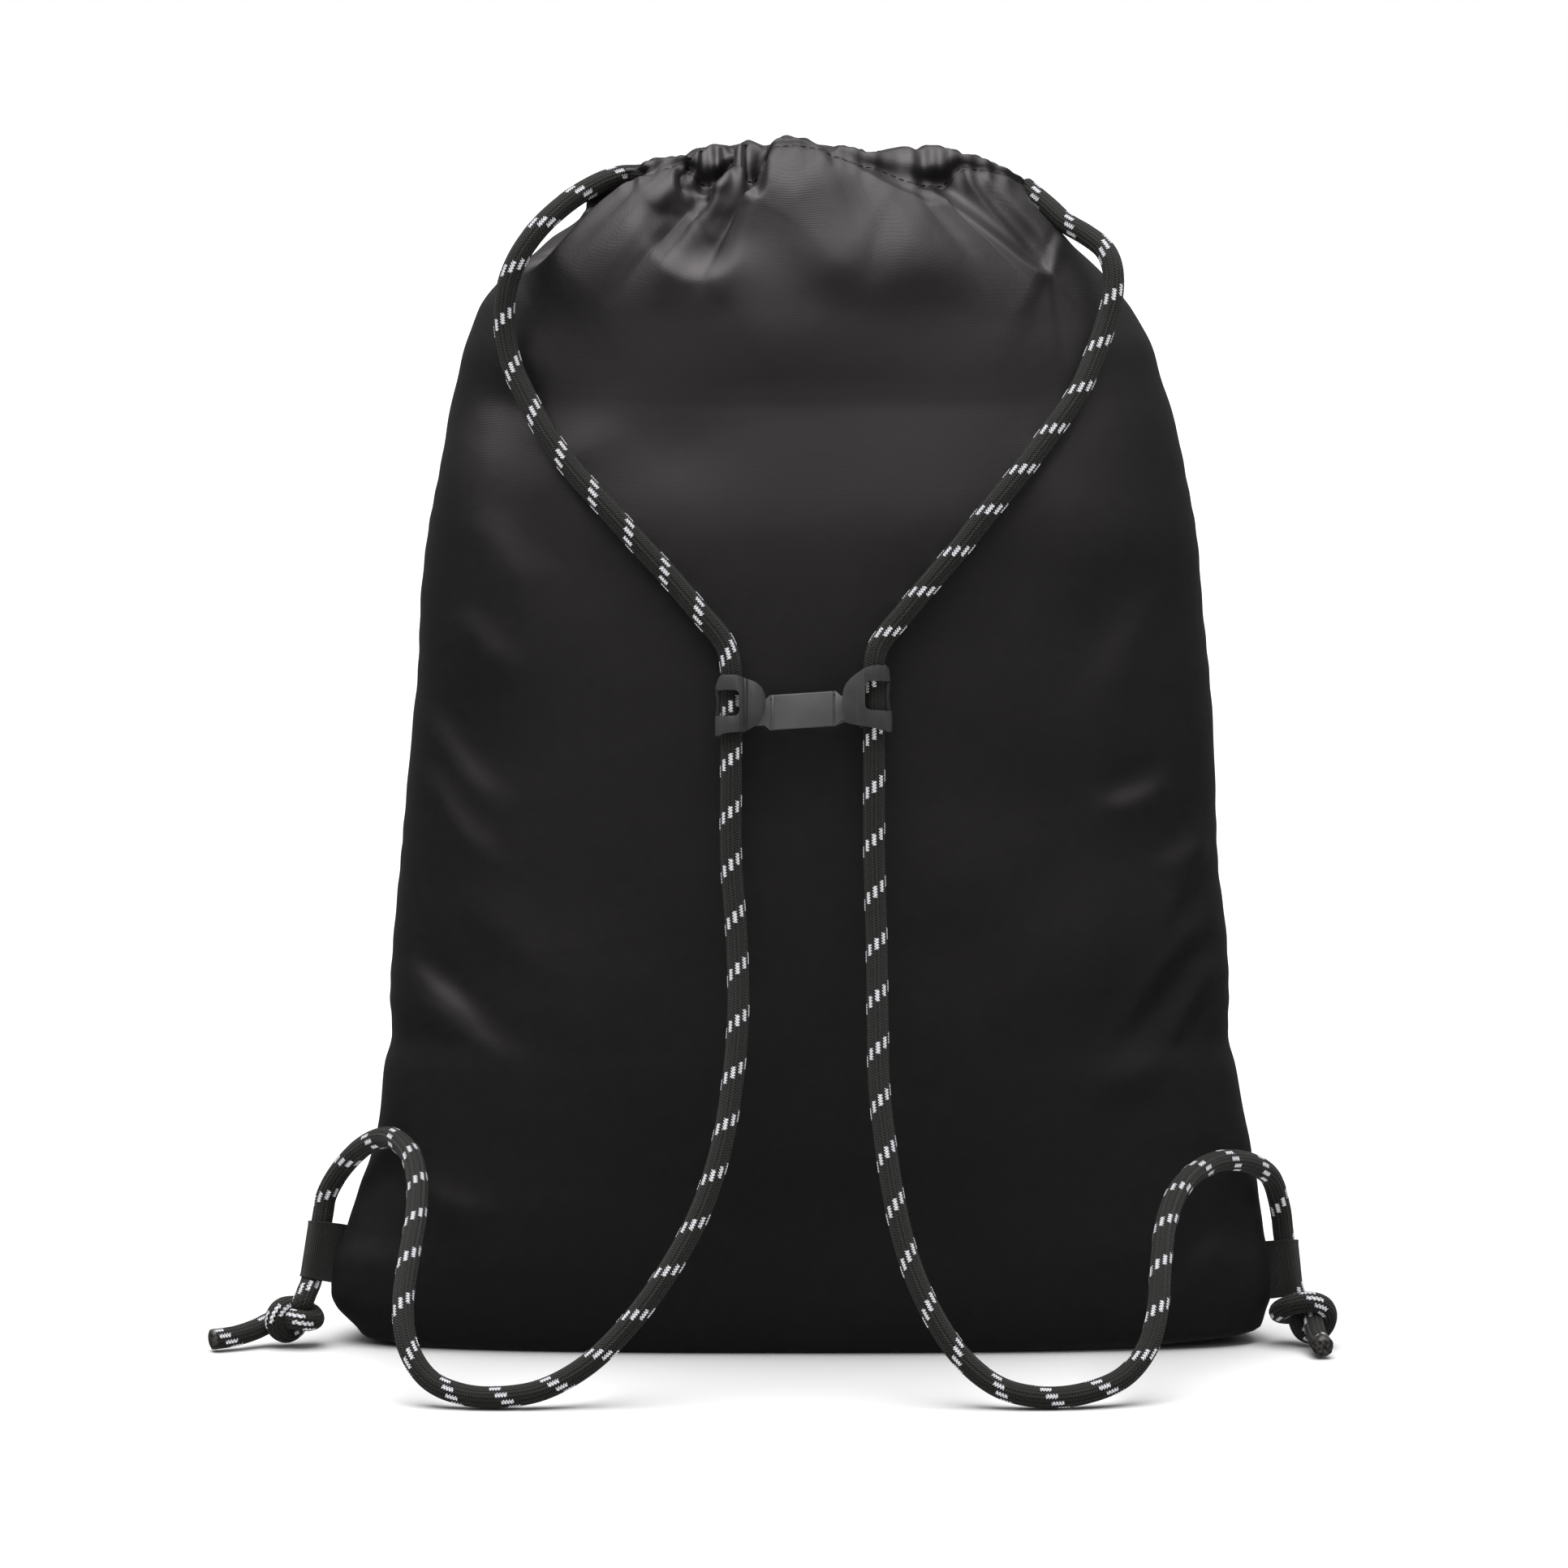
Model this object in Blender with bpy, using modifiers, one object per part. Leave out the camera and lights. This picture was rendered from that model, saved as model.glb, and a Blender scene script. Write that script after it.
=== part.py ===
"""A stuffed drawstring backpack with cord straps, cord loops at the base and a sternum strap.

Metres, +Z up, strap side towards -Y, origin on the ground under the middle of the bag.
"""

import math

import bmesh
import bpy
from mathutils import Matrix, Vector

# Cloth and cord
CLOTH = 0.0016
CORD_RADIUS = 0.004
GAP = 0.0003
SEAM_GAP = 0.0007
ROUNDNESS = 2.4
COLUMNS = 14

# The bag's body, from the ground up. Each row is a level cut through it:
# height, rise of its middle, reach left, reach right, depth on the strap side, depth in front, seam's y
SECTIONS = (
    (0.000, 0.000, 0.1570, 0.1510, 0.0250, 0.0630, -0.0200),
    (0.006, 0.000, 0.1710, 0.1725, 0.0300, 0.0710, -0.0200),
    (0.018, 0.000, 0.1790, 0.1800, 0.0340, 0.0780, -0.0200),
    (0.034, 0.000, 0.1785, 0.1790, 0.0380, 0.0840, -0.0190),
    (0.060, 0.000, 0.1690, 0.1745, 0.0435, 0.0905, -0.0175),
    (0.095, 0.000, 0.1605, 0.1690, 0.0490, 0.0965, -0.0155),
    (0.145, 0.000, 0.1560, 0.1635, 0.0550, 0.0970, -0.0125),
    (0.205, 0.000, 0.1515, 0.1590, 0.0595, 0.0925, -0.0090),
    (0.265, 0.000, 0.1460, 0.1550, 0.0625, 0.0840, -0.0050),
    (0.320, 0.000, 0.1410, 0.1490, 0.0615, 0.0735, -0.0020),
    (0.360, 0.002, 0.1330, 0.1400, 0.0560, 0.0620, 0.0000),
    (0.390, 0.004, 0.1235, 0.1270, 0.0478, 0.0500, 0.0000),
    (0.410, 0.006, 0.1090, 0.1155, 0.0400, 0.0400, 0.0000),
    (0.424, 0.006, 0.0750, 0.0950, 0.0310, 0.0310, 0.0000),
)

# The casing round the mouth: a flat sleeve that leans inwards
MOUTH_MIDDLE = 0.0115
MOUTH_REACH = 0.0735
MOUTH_DEPTH = 0.0230
CASING_MIDDLE_HEIGHT = 0.4468
CASING_DROP = 1.0
CASING_LEAN = math.radians(58.0)
CASING_HALF_HEIGHT = 0.0140
CASING_HALF_THICKNESS = 0.0056
CASING_WALL = 0.0011
CASING_STEPS = 14
BACK_CASING_END = math.radians(60.0)
FRONT_CASING_END = math.radians(83.0)

# Bindings over the seams, inside the bag
BINDING_HALF_WIDTH = 0.0050
BINDING_INSET = 0.0041
BINDING_THICKNESS = 0.0010
BINDING_ROWS = slice(2, 12)

# Web loops in the side seams
WEB_THICKNESS = 0.0012
LOOP_INNER_RADIUS = 0.0053
LOOP_HALF_OPENING = math.radians(32.0)
LOOP_STEPS = 18
LEFT_LOOP = {"foot": (-0.1862, -0.0240, 0.0265), "head": (-0.1830, -0.0200, 0.0480)}
RIGHT_LOOP = {"foot": (0.1870, -0.0240, 0.0190), "head": (0.1845, -0.0200, 0.0405)}

# Sternum strap: two cord clips and the band between them, built round the cord's axis
STERNUM_LEAN = math.atan(0.17)
LEFT_CLIP_AT = Vector((-0.0262, -0.0785, 0.2500))
RIGHT_CLIP_AT = Vector((0.0268, -0.0785, 0.2500))
RIGHT_CLIP_RISE = 0.0022
CLIP_HEIGHT = 0.0230
CLIP_OUTER = 0.0061
CLIP_INNER = 0.0052
CLIP_HALF_DEPTH = 0.0063
CLIP_BORE_RADIUS = 0.0048
CLIP_WINDOW_HALF_HEIGHT = 0.0052
TAB_REACH = 0.0122
TAB_HALF_HEIGHT = 0.0095
PIVOT_REACH = 0.0097
PIVOT_RADIUS = 0.0011
KNUCKLE_RADIUS = 0.0025
BAND_HALF_HEIGHT = 0.0064
BAND_THICKNESS = 0.0026
PLATE_HALF_WIDTH = 0.0113
PLATE_THICKNESS = 0.0008

# Routes of the two shoulder cords, from the mouth to the knot
LEFT_ROUTE = (
    (-0.0650, -0.0085, 0.4445), (-0.0709, -0.0115, 0.4436), (-0.0784, -0.0180, 0.4407),
    (-0.0876, -0.0250, 0.4350), (-0.0978, -0.0320, 0.4259), (-0.1060, -0.0355, 0.4145),
    (-0.1105, -0.0367, 0.4021), (-0.1112, -0.0377, 0.3890), (-0.1085, -0.0405, 0.3750),
    (-0.1030, -0.0455, 0.3630), (-0.0955, -0.0517, 0.3500), (-0.0850, -0.0577, 0.3360),
    (-0.0725, -0.0635, 0.3225), (-0.0600, -0.0670, 0.3090), (-0.0475, -0.0695, 0.2955),
    (-0.0380, -0.0724, 0.2845), (-0.0294, -0.0742, 0.2742), (-0.0264, -0.0760, 0.2650),
    (-0.0262, -0.0785, 0.2500), (-0.0262, -0.0828, 0.2250), (-0.0262, -0.0878, 0.1950),
    (-0.0240, -0.0950, 0.1640), (-0.0235, -0.1040, 0.1380), (-0.0257, -0.1130, 0.1130),
    (-0.0300, -0.1215, 0.0900), (-0.0375, -0.1290, 0.0685), (-0.0485, -0.1360, 0.0490),
    (-0.0620, -0.1415, 0.0310), (-0.0770, -0.1460, 0.0165), (-0.0930, -0.1490, 0.0075),
    (-0.1080, -0.1500, 0.0045), (-0.1230, -0.1490, 0.0050), (-0.1360, -0.1455, 0.0100),
    (-0.1440, -0.1395, 0.0210), (-0.1462, -0.1300, 0.0350), (-0.1448, -0.1170, 0.0490),
    (-0.1430, -0.1000, 0.0620), (-0.1435, -0.0820, 0.0730), (-0.1475, -0.0640, 0.0805),
    (-0.1560, -0.0455, 0.0830), (-0.1662, -0.0325, 0.0775), (-0.1755, -0.0225, 0.0670),
    (-0.1812, -0.0192, 0.0570), (-0.1830, -0.0200, 0.0480), (-0.1862, -0.0240, 0.0265),
    (-0.1871, -0.0252, 0.0216),
)
RIGHT_ROUTE = (
    (0.0932, -0.0070, 0.4325), (0.0995, -0.0130, 0.4268),
    (0.1074, -0.0190, 0.4222), (0.1138, -0.0250, 0.4170), (0.1167, -0.0300, 0.4098),
    (0.1165, -0.0338, 0.3996), (0.1141, -0.0365, 0.3905), (0.1097, -0.0410, 0.3786),
    (0.1031, -0.0475, 0.3645), (0.0926, -0.0545, 0.3500), (0.0812, -0.0612, 0.3355), (0.0690, -0.0662, 0.3210),
    (0.0573, -0.0690, 0.3065), (0.0455, -0.0712, 0.2930), (0.0382, -0.0726, 0.2843),
    (0.0306, -0.0740, 0.2752), (0.0271, -0.0756, 0.2672), (0.0268, -0.0785, 0.2500),
    (0.0268, -0.0828, 0.2250), (0.0268, -0.0878, 0.1950), (0.0276, -0.0955, 0.1640),
    (0.0279, -0.1045, 0.1380), (0.0284, -0.1135, 0.1130), (0.0308, -0.1215, 0.0915),
    (0.0342, -0.1290, 0.0710), (0.0392, -0.1355, 0.0520), (0.0470, -0.1415, 0.0345),
    (0.0575, -0.1460, 0.0190), (0.0705, -0.1490, 0.0085), (0.0850, -0.1500, 0.0045),
    (0.1010, -0.1485, 0.0050), (0.1165, -0.1440, 0.0100), (0.1262, -0.1375, 0.0200),
    (0.1305, -0.1285, 0.0330), (0.1322, -0.1160, 0.0465), (0.1350, -0.1000, 0.0600),
    (0.1415, -0.0810, 0.0700), (0.1530, -0.0600, 0.0750), (0.1660, -0.0440, 0.0738),
    (0.1778, -0.0295, 0.0660), (0.1828, -0.0212, 0.0525), (0.1845, -0.0200, 0.0405),
    (0.1870, -0.0240, 0.0190), (0.1872, -0.0243, 0.0175),
)
CORD_STEP = 0.0180
CASING_LEAD = 0.0055

# Knots at the cords' lower ends, and the tails beyond them
LEFT_KNOT = {"at": Vector((-0.1905, -0.0295, 0.0112)), "radii": (0.0108, 0.0100, 0.0109)}
RIGHT_KNOT = {"at": Vector((0.1912, -0.0300, 0.0090)), "radii": (0.0123, 0.0095, 0.0076)}
LEFT_TAIL = ((-0.2011, -0.0329, 0.0084), (-0.2090, -0.0360, 0.0062), (-0.2225, -0.0415, 0.0045))
RIGHT_TAIL = ((0.1929, -0.0394, 0.0072), (0.1945, -0.0455, 0.0055), (0.1962, -0.0515, 0.0046))
TIP_LENGTH = 0.0015

BLACK_CLOTH = ("bag_cloth", (0.020, 0.019, 0.020), 0.45)
BLACK_CORD = ("cord_braid", (0.022, 0.022, 0.019), 0.70)
BLACK_WEB = ("web_ribbed", (0.018, 0.018, 0.017), 0.65)
DARK_PLASTIC = ("clip_plastic", (0.045, 0.044, 0.045), 0.35)
DARK_RUBBER = ("band_rubber", (0.055, 0.055, 0.056), 0.45)
MELTED_CORD = ("melted_cord", (0.030, 0.028, 0.026), 0.30)
BINDING_TAPE = ("binding_tape", (0.015, 0.015, 0.015), 0.80)


def clear_scene():
    for old in list(bpy.data.objects):
        bpy.data.objects.remove(old, do_unlink=True)


def new_collection(name):
    made = bpy.data.collections.new(name)
    bpy.context.scene.collection.children.link(made)
    return made


def material(finish):
    name, color, roughness = finish
    made = bpy.data.materials.get(name)
    if made is None:
        made = bpy.data.materials.new(name)
        made.use_nodes = True
        shader = made.node_tree.nodes["Principled BSDF"]
        shader.inputs["Base Color"].default_value = (*color, 1.0)
        shader.inputs["Roughness"].default_value = roughness
        shader.inputs["Metallic"].default_value = 0.0
    return made


def add_object(name, data, finish, collection):
    made = bpy.data.objects.new(name, data)
    collection.objects.link(made)
    if finish is not None:
        data.materials.append(material(finish))
    return made


def mesh_object(name, vertices, faces, finish, collection):
    data = bpy.data.meshes.new(name)
    data.from_pydata([tuple(v) for v in vertices], [], faces)
    data.update()
    data.shade_smooth()
    return add_object(name, data, finish, collection)


def grid_faces(rows, columns, flip):
    faces = []
    for row in range(rows - 1):
        for column in range(columns - 1):
            a = row * columns + column
            quad = (a, a + 1, a + columns + 1, a + columns)
            faces.append(tuple(reversed(quad)) if flip else quad)
    return faces


def thicken(piece, thickness, offset):
    solidify = piece.modifiers.new("thickness", "SOLIDIFY")
    solidify.thickness = thickness
    solidify.offset = offset


def section_point(section, angle, side, inset=0.0):
    """A point of one level cut: angle runs from -90 degrees, the left seam, to 90, the right one."""
    height, rise, left, right, strap_depth, front_depth, seam_y = section
    across = math.sin(angle)
    along = max(math.cos(angle), 0.0)
    reach = (right if across > 0 else left) - inset
    depth = (strap_depth if side < 0 else front_depth) - inset
    x = math.copysign(abs(across) ** (2 / ROUNDNESS), across) * reach
    y = seam_y + side * (SEAM_GAP + depth * along ** (2 / ROUNDNESS))
    return Vector((x, y, height + rise * along))


def build_panel(name, side, parts):
    angles = [math.radians(-90 + 180 * i / COLUMNS) for i in range(COLUMNS + 1)]
    points = [section_point(section, angle, side) for section in SECTIONS for angle in angles]
    faces = grid_faces(len(SECTIONS), len(angles), side > 0)
    panel = mesh_object(name, points, faces, BLACK_CLOTH, parts)
    thicken(panel, CLOTH, -1)
    return panel


def build_base(parts):
    """The flat bottom, inside the lower edge of both panels."""
    outline = []
    inset = CLOTH + 2 * GAP
    for side in (-1, 1):
        for i in range(2 * COLUMNS):
            angle = math.radians(-90 + 180 * i / (2 * COLUMNS)) * -side
            outline.append(section_point(SECTIONS[0], angle, side, inset))
    base = mesh_object("base_panel", outline, [tuple(range(len(outline)))], BLACK_CLOTH, parts)
    thicken(base, CLOTH, -1)
    base.data.flip_normals()
    return base


def build_binding(name, side, parts):
    """The tape over a side seam: side is -1 on the left and 1 on the right."""
    points = []
    for section in SECTIONS[BINDING_ROWS]:
        reach = (section[3] if side > 0 else section[2]) - BINDING_INSET
        for across in (-BINDING_HALF_WIDTH, BINDING_HALF_WIDTH):
            points.append((side * reach, section[6] + across, section[0]))
    rows = len(points) // 2
    binding = mesh_object(name, points, grid_faces(rows, 2, side < 0), BINDING_TAPE, parts)
    thicken(binding, BINDING_THICKNESS, -1)
    return binding


def casing_frame(angle, side):
    """Centre, outward and upward directions of the casing at an angle round the mouth."""
    x = MOUTH_MIDDLE + MOUTH_REACH * math.sin(angle)
    y = side * MOUTH_DEPTH * math.cos(angle)
    centre = Vector((x, y, CASING_MIDDLE_HEIGHT - CASING_DROP * x * x))
    out = Vector((math.sin(angle) * MOUTH_DEPTH, side * math.cos(angle) * MOUTH_REACH, 0)).normalized()
    up = Vector((0, 0, 1))
    outward = out * math.sin(CASING_LEAN) + up * math.cos(CASING_LEAN)
    upward = up * math.sin(CASING_LEAN) - out * math.cos(CASING_LEAN)
    return centre, outward, upward


def casing_angles(end):
    return [end * (2 * i / CASING_STEPS - 1) for i in range(CASING_STEPS + 1)]


def build_casing(name, side, end, parts):
    """A flat hollow sleeve round half the mouth, open at both ends for the cord."""
    ring = 14
    frames = [casing_frame(angle, side) for angle in casing_angles(end)]
    vertices = []
    for centre, outward, upward in frames:
        for inset in (0.0, CASING_WALL):
            for k in range(ring):
                turn = 2 * math.pi * k / ring
                wide = upward * (CASING_HALF_HEIGHT - inset) * math.sin(turn)
                thick = outward * (CASING_HALF_THICKNESS - inset) * math.cos(turn)
                vertices.append(centre + wide + thick)
    faces = []
    for row in range(len(frames) - 1):
        for k in range(ring):
            here = row * 2 * ring
            there = here + 2 * ring
            after = (k + 1) % ring
            faces.append((here + k, here + after, there + after, there + k))
            faces.append((here + ring + k, there + ring + k, there + ring + after, here + ring + after))
    for row, flip in ((0, False), (len(frames) - 1, True)):
        here = row * 2 * ring
        for k in range(ring):
            after = (k + 1) % ring
            quad = (here + k, here + ring + k, here + ring + after, here + after)
            faces.append(tuple(reversed(quad)) if flip else quad)
    casing = mesh_object(name, vertices, faces, BLACK_CLOTH, parts)
    face_outwards(casing)
    return casing


def face_outwards(piece):
    work = bmesh.new()
    work.from_mesh(piece.data)
    bmesh.ops.recalc_face_normals(work, faces=work.faces)
    work.to_mesh(piece.data)
    work.free()


def tube(name, points, radius, finish, collection):
    curve = bpy.data.curves.new(name, "CURVE")
    curve.dimensions = "3D"
    curve.bevel_depth = radius
    curve.bevel_resolution = 2
    curve.use_fill_caps = True
    spline = curve.splines.new("POLY")
    spline.points.add(len(points) - 1)
    for point, place in zip(spline.points, points):
        point.co = (*place, 1.0)
    return add_object(name, curve, finish, collection)


def spline_point(route, position):
    """A point on the smooth curve through the route: position counts its points."""
    i = min(int(position), len(route) - 2)
    t = position - i
    a, b = route[max(i - 1, 0)], route[i]
    c, d = route[i + 1], route[min(i + 2, len(route) - 1)]
    straight = b * 2 + (c - a) * t
    bend = (a * 2 - b * 5 + c * 4 - d) * t * t
    twist = (b * 3 - a - c * 3 + d) * t * t * t
    return (straight + bend + twist) * 0.5


def even_points(route, step):
    """Points a step apart along the smooth curve through the route."""
    fine = [spline_point(route, i / 12) for i in range(12 * (len(route) - 1) + 1)]
    travelled = [0.0]
    for before, after in zip(fine, fine[1:]):
        travelled.append(travelled[-1] + (after - before).length)
    count = max(2, round(travelled[-1] / step))
    points = []
    for i in range(count + 1):
        want = travelled[-1] * i / count
        k = max(j for j in range(len(fine) - 1) if travelled[j] <= want + 1e-9)
        span = travelled[k + 1] - travelled[k]
        points.append(fine[k].lerp(fine[k + 1], (want - travelled[k]) / span))
    return points


def build_cord(name, route, run, parts):
    """A shoulder cord: it goes on from the end of its run inside the casing, then along its route."""
    end = run[-1]
    along = (end - run[-2]).normalized()
    route = [end + along * CASING_LEAD] + [Vector(point) for point in route]
    tube(name + "_in_casing", run, CORD_RADIUS, BLACK_CORD, parts)
    tube(name, [end + along * GAP] + even_points(route, CORD_STEP), CORD_RADIUS, BLACK_CORD, parts)


def casing_run(side, end):
    """The cord's points inside a casing, from its left mouth to its right one."""
    return [casing_frame(angle, side)[0] for angle in casing_angles(end)]


def build_loop(name, loop, side, parts):
    """Webbing folded round the cord, its two ends towards the side seam."""
    radius = LOOP_INNER_RADIUS + WEB_THICKNESS / 2
    points = []
    for x, y, z in (loop["foot"], loop["head"]):
        for k in range(LOOP_STEPS + 1):
            turn = LOOP_HALF_OPENING + (2 * math.pi - 2 * LOOP_HALF_OPENING) * k / LOOP_STEPS
            points.append((x - side * radius * math.cos(turn), y + radius * math.sin(turn), z))
    web = mesh_object(name, points, grid_faces(2, LOOP_STEPS + 1, False), BLACK_WEB, parts)
    thicken(web, WEB_THICKNESS, 0)
    return web


def build_knot(name, knot, parts):
    work = bmesh.new()
    bmesh.ops.create_uvsphere(work, u_segments=16, v_segments=10, radius=1.0)
    bmesh.ops.scale(work, vec=Vector(knot["radii"]), verts=work.verts)
    data = bpy.data.meshes.new(name)
    work.to_mesh(data)
    work.free()
    data.shade_smooth()
    made = add_object(name, data, BLACK_CORD, parts)
    made.location = knot["at"]
    return made


def build_tip(name, tail, parts):
    """The melted end of a cord, just past the end of its tail."""
    end, before = Vector(tail[-1]), Vector(tail[-2])
    along = (end - before).normalized()
    start = end + along * GAP
    return tube(name, (start, start + along * TIP_LENGTH), CORD_RADIUS, MELTED_CORD, parts)


def box_object(name, low, high, collection, finish=None, bevel=0.0):
    """A box by its corners, with its long edges rounded by bevel."""
    low, high = Vector(low), Vector(high)
    work = bmesh.new()
    bmesh.ops.create_cube(work, size=1.0)
    bmesh.ops.scale(work, vec=high - low, verts=work.verts)
    bmesh.ops.translate(work, vec=(low + high) / 2, verts=work.verts)
    if bevel:
        bmesh.ops.bevel(work, geom=work.edges[:], offset=bevel, segments=2, profile=0.5, affect="EDGES")
    data = bpy.data.meshes.new(name)
    work.to_mesh(data)
    work.free()
    return add_object(name, data, finish, collection)


def rod_object(name, radius, low_z, high_z, x, y, segments, collection, finish=None):
    work = bmesh.new()
    bmesh.ops.create_cone(
        work, cap_ends=True, segments=segments, radius1=radius, radius2=radius, depth=high_z - low_z
    )
    bmesh.ops.translate(work, vec=(x, y, (low_z + high_z) / 2), verts=work.verts)
    data = bpy.data.meshes.new(name)
    work.to_mesh(data)
    work.free()
    return add_object(name, data, finish, collection)


def hide_cutter(cutter):
    cutter.hide_render = True
    cutter.display_type = "WIRE"


def combine(piece, other, operation):
    hide_cutter(other)
    boolean = piece.modifiers.new(operation.lower(), "BOOLEAN")
    boolean.operation = operation
    boolean.solver = "EXACT"
    boolean.object = other


def tab_outline(inner):
    """The D-shaped face plate: straight at the cord, round towards the band."""
    start = 0.0035
    corner = 0.0055
    points = [(start, -TAB_HALF_HEIGHT - 0.001)]
    for z_sign in (-1, 1):
        for k in range(5):
            turn = math.radians(90 * k / 4)
            if z_sign > 0:
                turn = math.radians(90) - turn
            x = TAB_REACH - corner + corner * math.sin(turn)
            z = z_sign * (TAB_HALF_HEIGHT - corner + corner * math.cos(turn))
            points.append((x, z))
    points.append((start, TAB_HALF_HEIGHT + 0.001))
    return [(inner * x, z) for x, z in points]


def build_tab(name, inner, collection):
    front = -CLIP_HALF_DEPTH + 0.0004
    back = front + 0.0016
    outline = tab_outline(inner)
    count = len(outline)
    vertices = [(x, y, z) for y in (front, back) for x, z in outline]
    faces = [tuple(range(count)), tuple(reversed(range(count, 2 * count)))]
    for k in range(count):
        after = (k + 1) % count
        faces.append((k, count + k, count + after, after))
    tab = mesh_object(name, vertices, faces, None, collection)
    face_outwards(tab)
    return tab


def place_on_cord(piece, at, rise):
    """Puts a piece built round its own Z on the leaning stretch of cord."""
    turn = Matrix.Rotation(-STERNUM_LEAN, 4, "X")
    along = turn @ Vector((0, 0, 1))
    piece.matrix_world = Matrix.Translation(at + along * rise) @ turn


def build_clip(name, inner, at, rise, parts, cutters):
    """A moulded clip: bridges in front of the cord at top and bottom, a bar behind it between them.

    inner is 1 where the band lies towards +X and -1 where it lies towards -X.
    """
    half = CLIP_HEIGHT / 2
    xs = sorted((-inner * CLIP_OUTER, inner * CLIP_INNER))
    clip = box_object(
        name, (xs[0], -CLIP_HALF_DEPTH, -half), (xs[1], CLIP_HALF_DEPTH, half), parts, DARK_PLASTIC, 0.0016
    )
    tab = build_tab(name + "_tab", inner, cutters)
    additions = [tab]
    for label, z_sign in (("lower", -1), ("upper", 1)):
        z_range = sorted((z_sign * (BAND_HALF_HEIGHT + 0.0006), z_sign * (TAB_HALF_HEIGHT - 0.0004)))
        x_range = sorted((inner * 0.0040, inner * (PIVOT_REACH + 0.0016)))
        additions.append(
            box_object(
                name + "_ear_" + label,
                (x_range[0], -CLIP_HALF_DEPTH + 0.0010, z_range[0]),
                (x_range[1], 0.0018, z_range[1]),
                cutters,
            )
        )
    pin = rod_object(name + "_pin", PIVOT_RADIUS, -0.0080, 0.0080, inner * PIVOT_REACH, 0, 12, cutters)
    additions.append(pin)
    bore = rod_object(name + "_bore", CLIP_BORE_RADIUS, -0.02, 0.02, 0, 0, 24, cutters)
    window_x = sorted((-inner * 0.0100, inner * 0.0034))
    window = box_object(
        name + "_window",
        (window_x[0], -0.0100, -CLIP_WINDOW_HALF_HEIGHT),
        (window_x[1], 0.0014, CLIP_WINDOW_HALF_HEIGHT),
        cutters,
    )
    cuts = [bore, window]
    for label, z_sign in (("lower", -1), ("upper", 1)):
        z_range = sorted((z_sign * (CLIP_WINDOW_HALF_HEIGHT + 0.0006), z_sign * 0.0200))
        cuts.append(
            box_object(
                name + "_throat_" + label,
                (-CLIP_BORE_RADIUS + 0.0004, 0.0, z_range[0]),
                (CLIP_BORE_RADIUS - 0.0004, 0.0100, z_range[1]),
                cutters,
            )
        )
    for other in additions:
        combine(clip, other, "UNION")
    for other in cuts:
        combine(clip, other, "DIFFERENCE")
    for each in [clip] + additions + cuts:
        place_on_cord(each, at, rise)
    return clip


def build_band(parts, cutters):
    """The rubber band between the clips, with a knuckle round each clip's pin."""
    span = RIGHT_CLIP_AT.x - LEFT_CLIP_AT.x
    left_pin = PIVOT_REACH
    right_pin = span - PIVOT_REACH
    y = BAND_THICKNESS / 2
    band = box_object(
        "sternum_band",
        (left_pin + 0.0018, -y, -BAND_HALF_HEIGHT),
        (right_pin - 0.0018, y, BAND_HALF_HEIGHT),
        parts,
        DARK_RUBBER,
    )
    shear_up(band, left_pin, right_pin)
    extras = []
    for label, x, rise in (("left", left_pin, 0.0), ("right", right_pin, RIGHT_CLIP_RISE)):
        low, high = rise - BAND_HALF_HEIGHT + 0.0002, rise + BAND_HALF_HEIGHT - 0.0002
        knuckle = rod_object("band_knuckle_" + label, KNUCKLE_RADIUS, low, high, x, 0, 20, cutters)
        combine(band, knuckle, "UNION")
        hole = rod_object("band_hole_" + label, PIVOT_RADIUS + 0.0004, -0.02, 0.02, x, 0, 16, cutters)
        extras += [knuckle, hole]
    for hole in extras[1::2]:
        combine(band, hole, "DIFFERENCE")
    plate_middle = (left_pin + right_pin) / 2
    front = -y - GAP - PLATE_THICKNESS
    plate = box_object(
        "band_plate",
        (plate_middle - PLATE_HALF_WIDTH, front, -BAND_HALF_HEIGHT),
        (plate_middle + PLATE_HALF_WIDTH, -y - GAP, BAND_HALF_HEIGHT),
        parts,
        DARK_RUBBER,
        0.0002,
    )
    shear_up(plate, left_pin, right_pin)
    for each in [band, plate] + extras:
        place_on_cord(each, LEFT_CLIP_AT, 0.0)
    return band


def shear_up(piece, start, end):
    """Slants a piece so that its right end stands higher by the right clip's rise."""
    for vertex in piece.data.vertices:
        share = (vertex.co.x - start) / (end - start)
        vertex.co.z += RIGHT_CLIP_RISE * share


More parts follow.
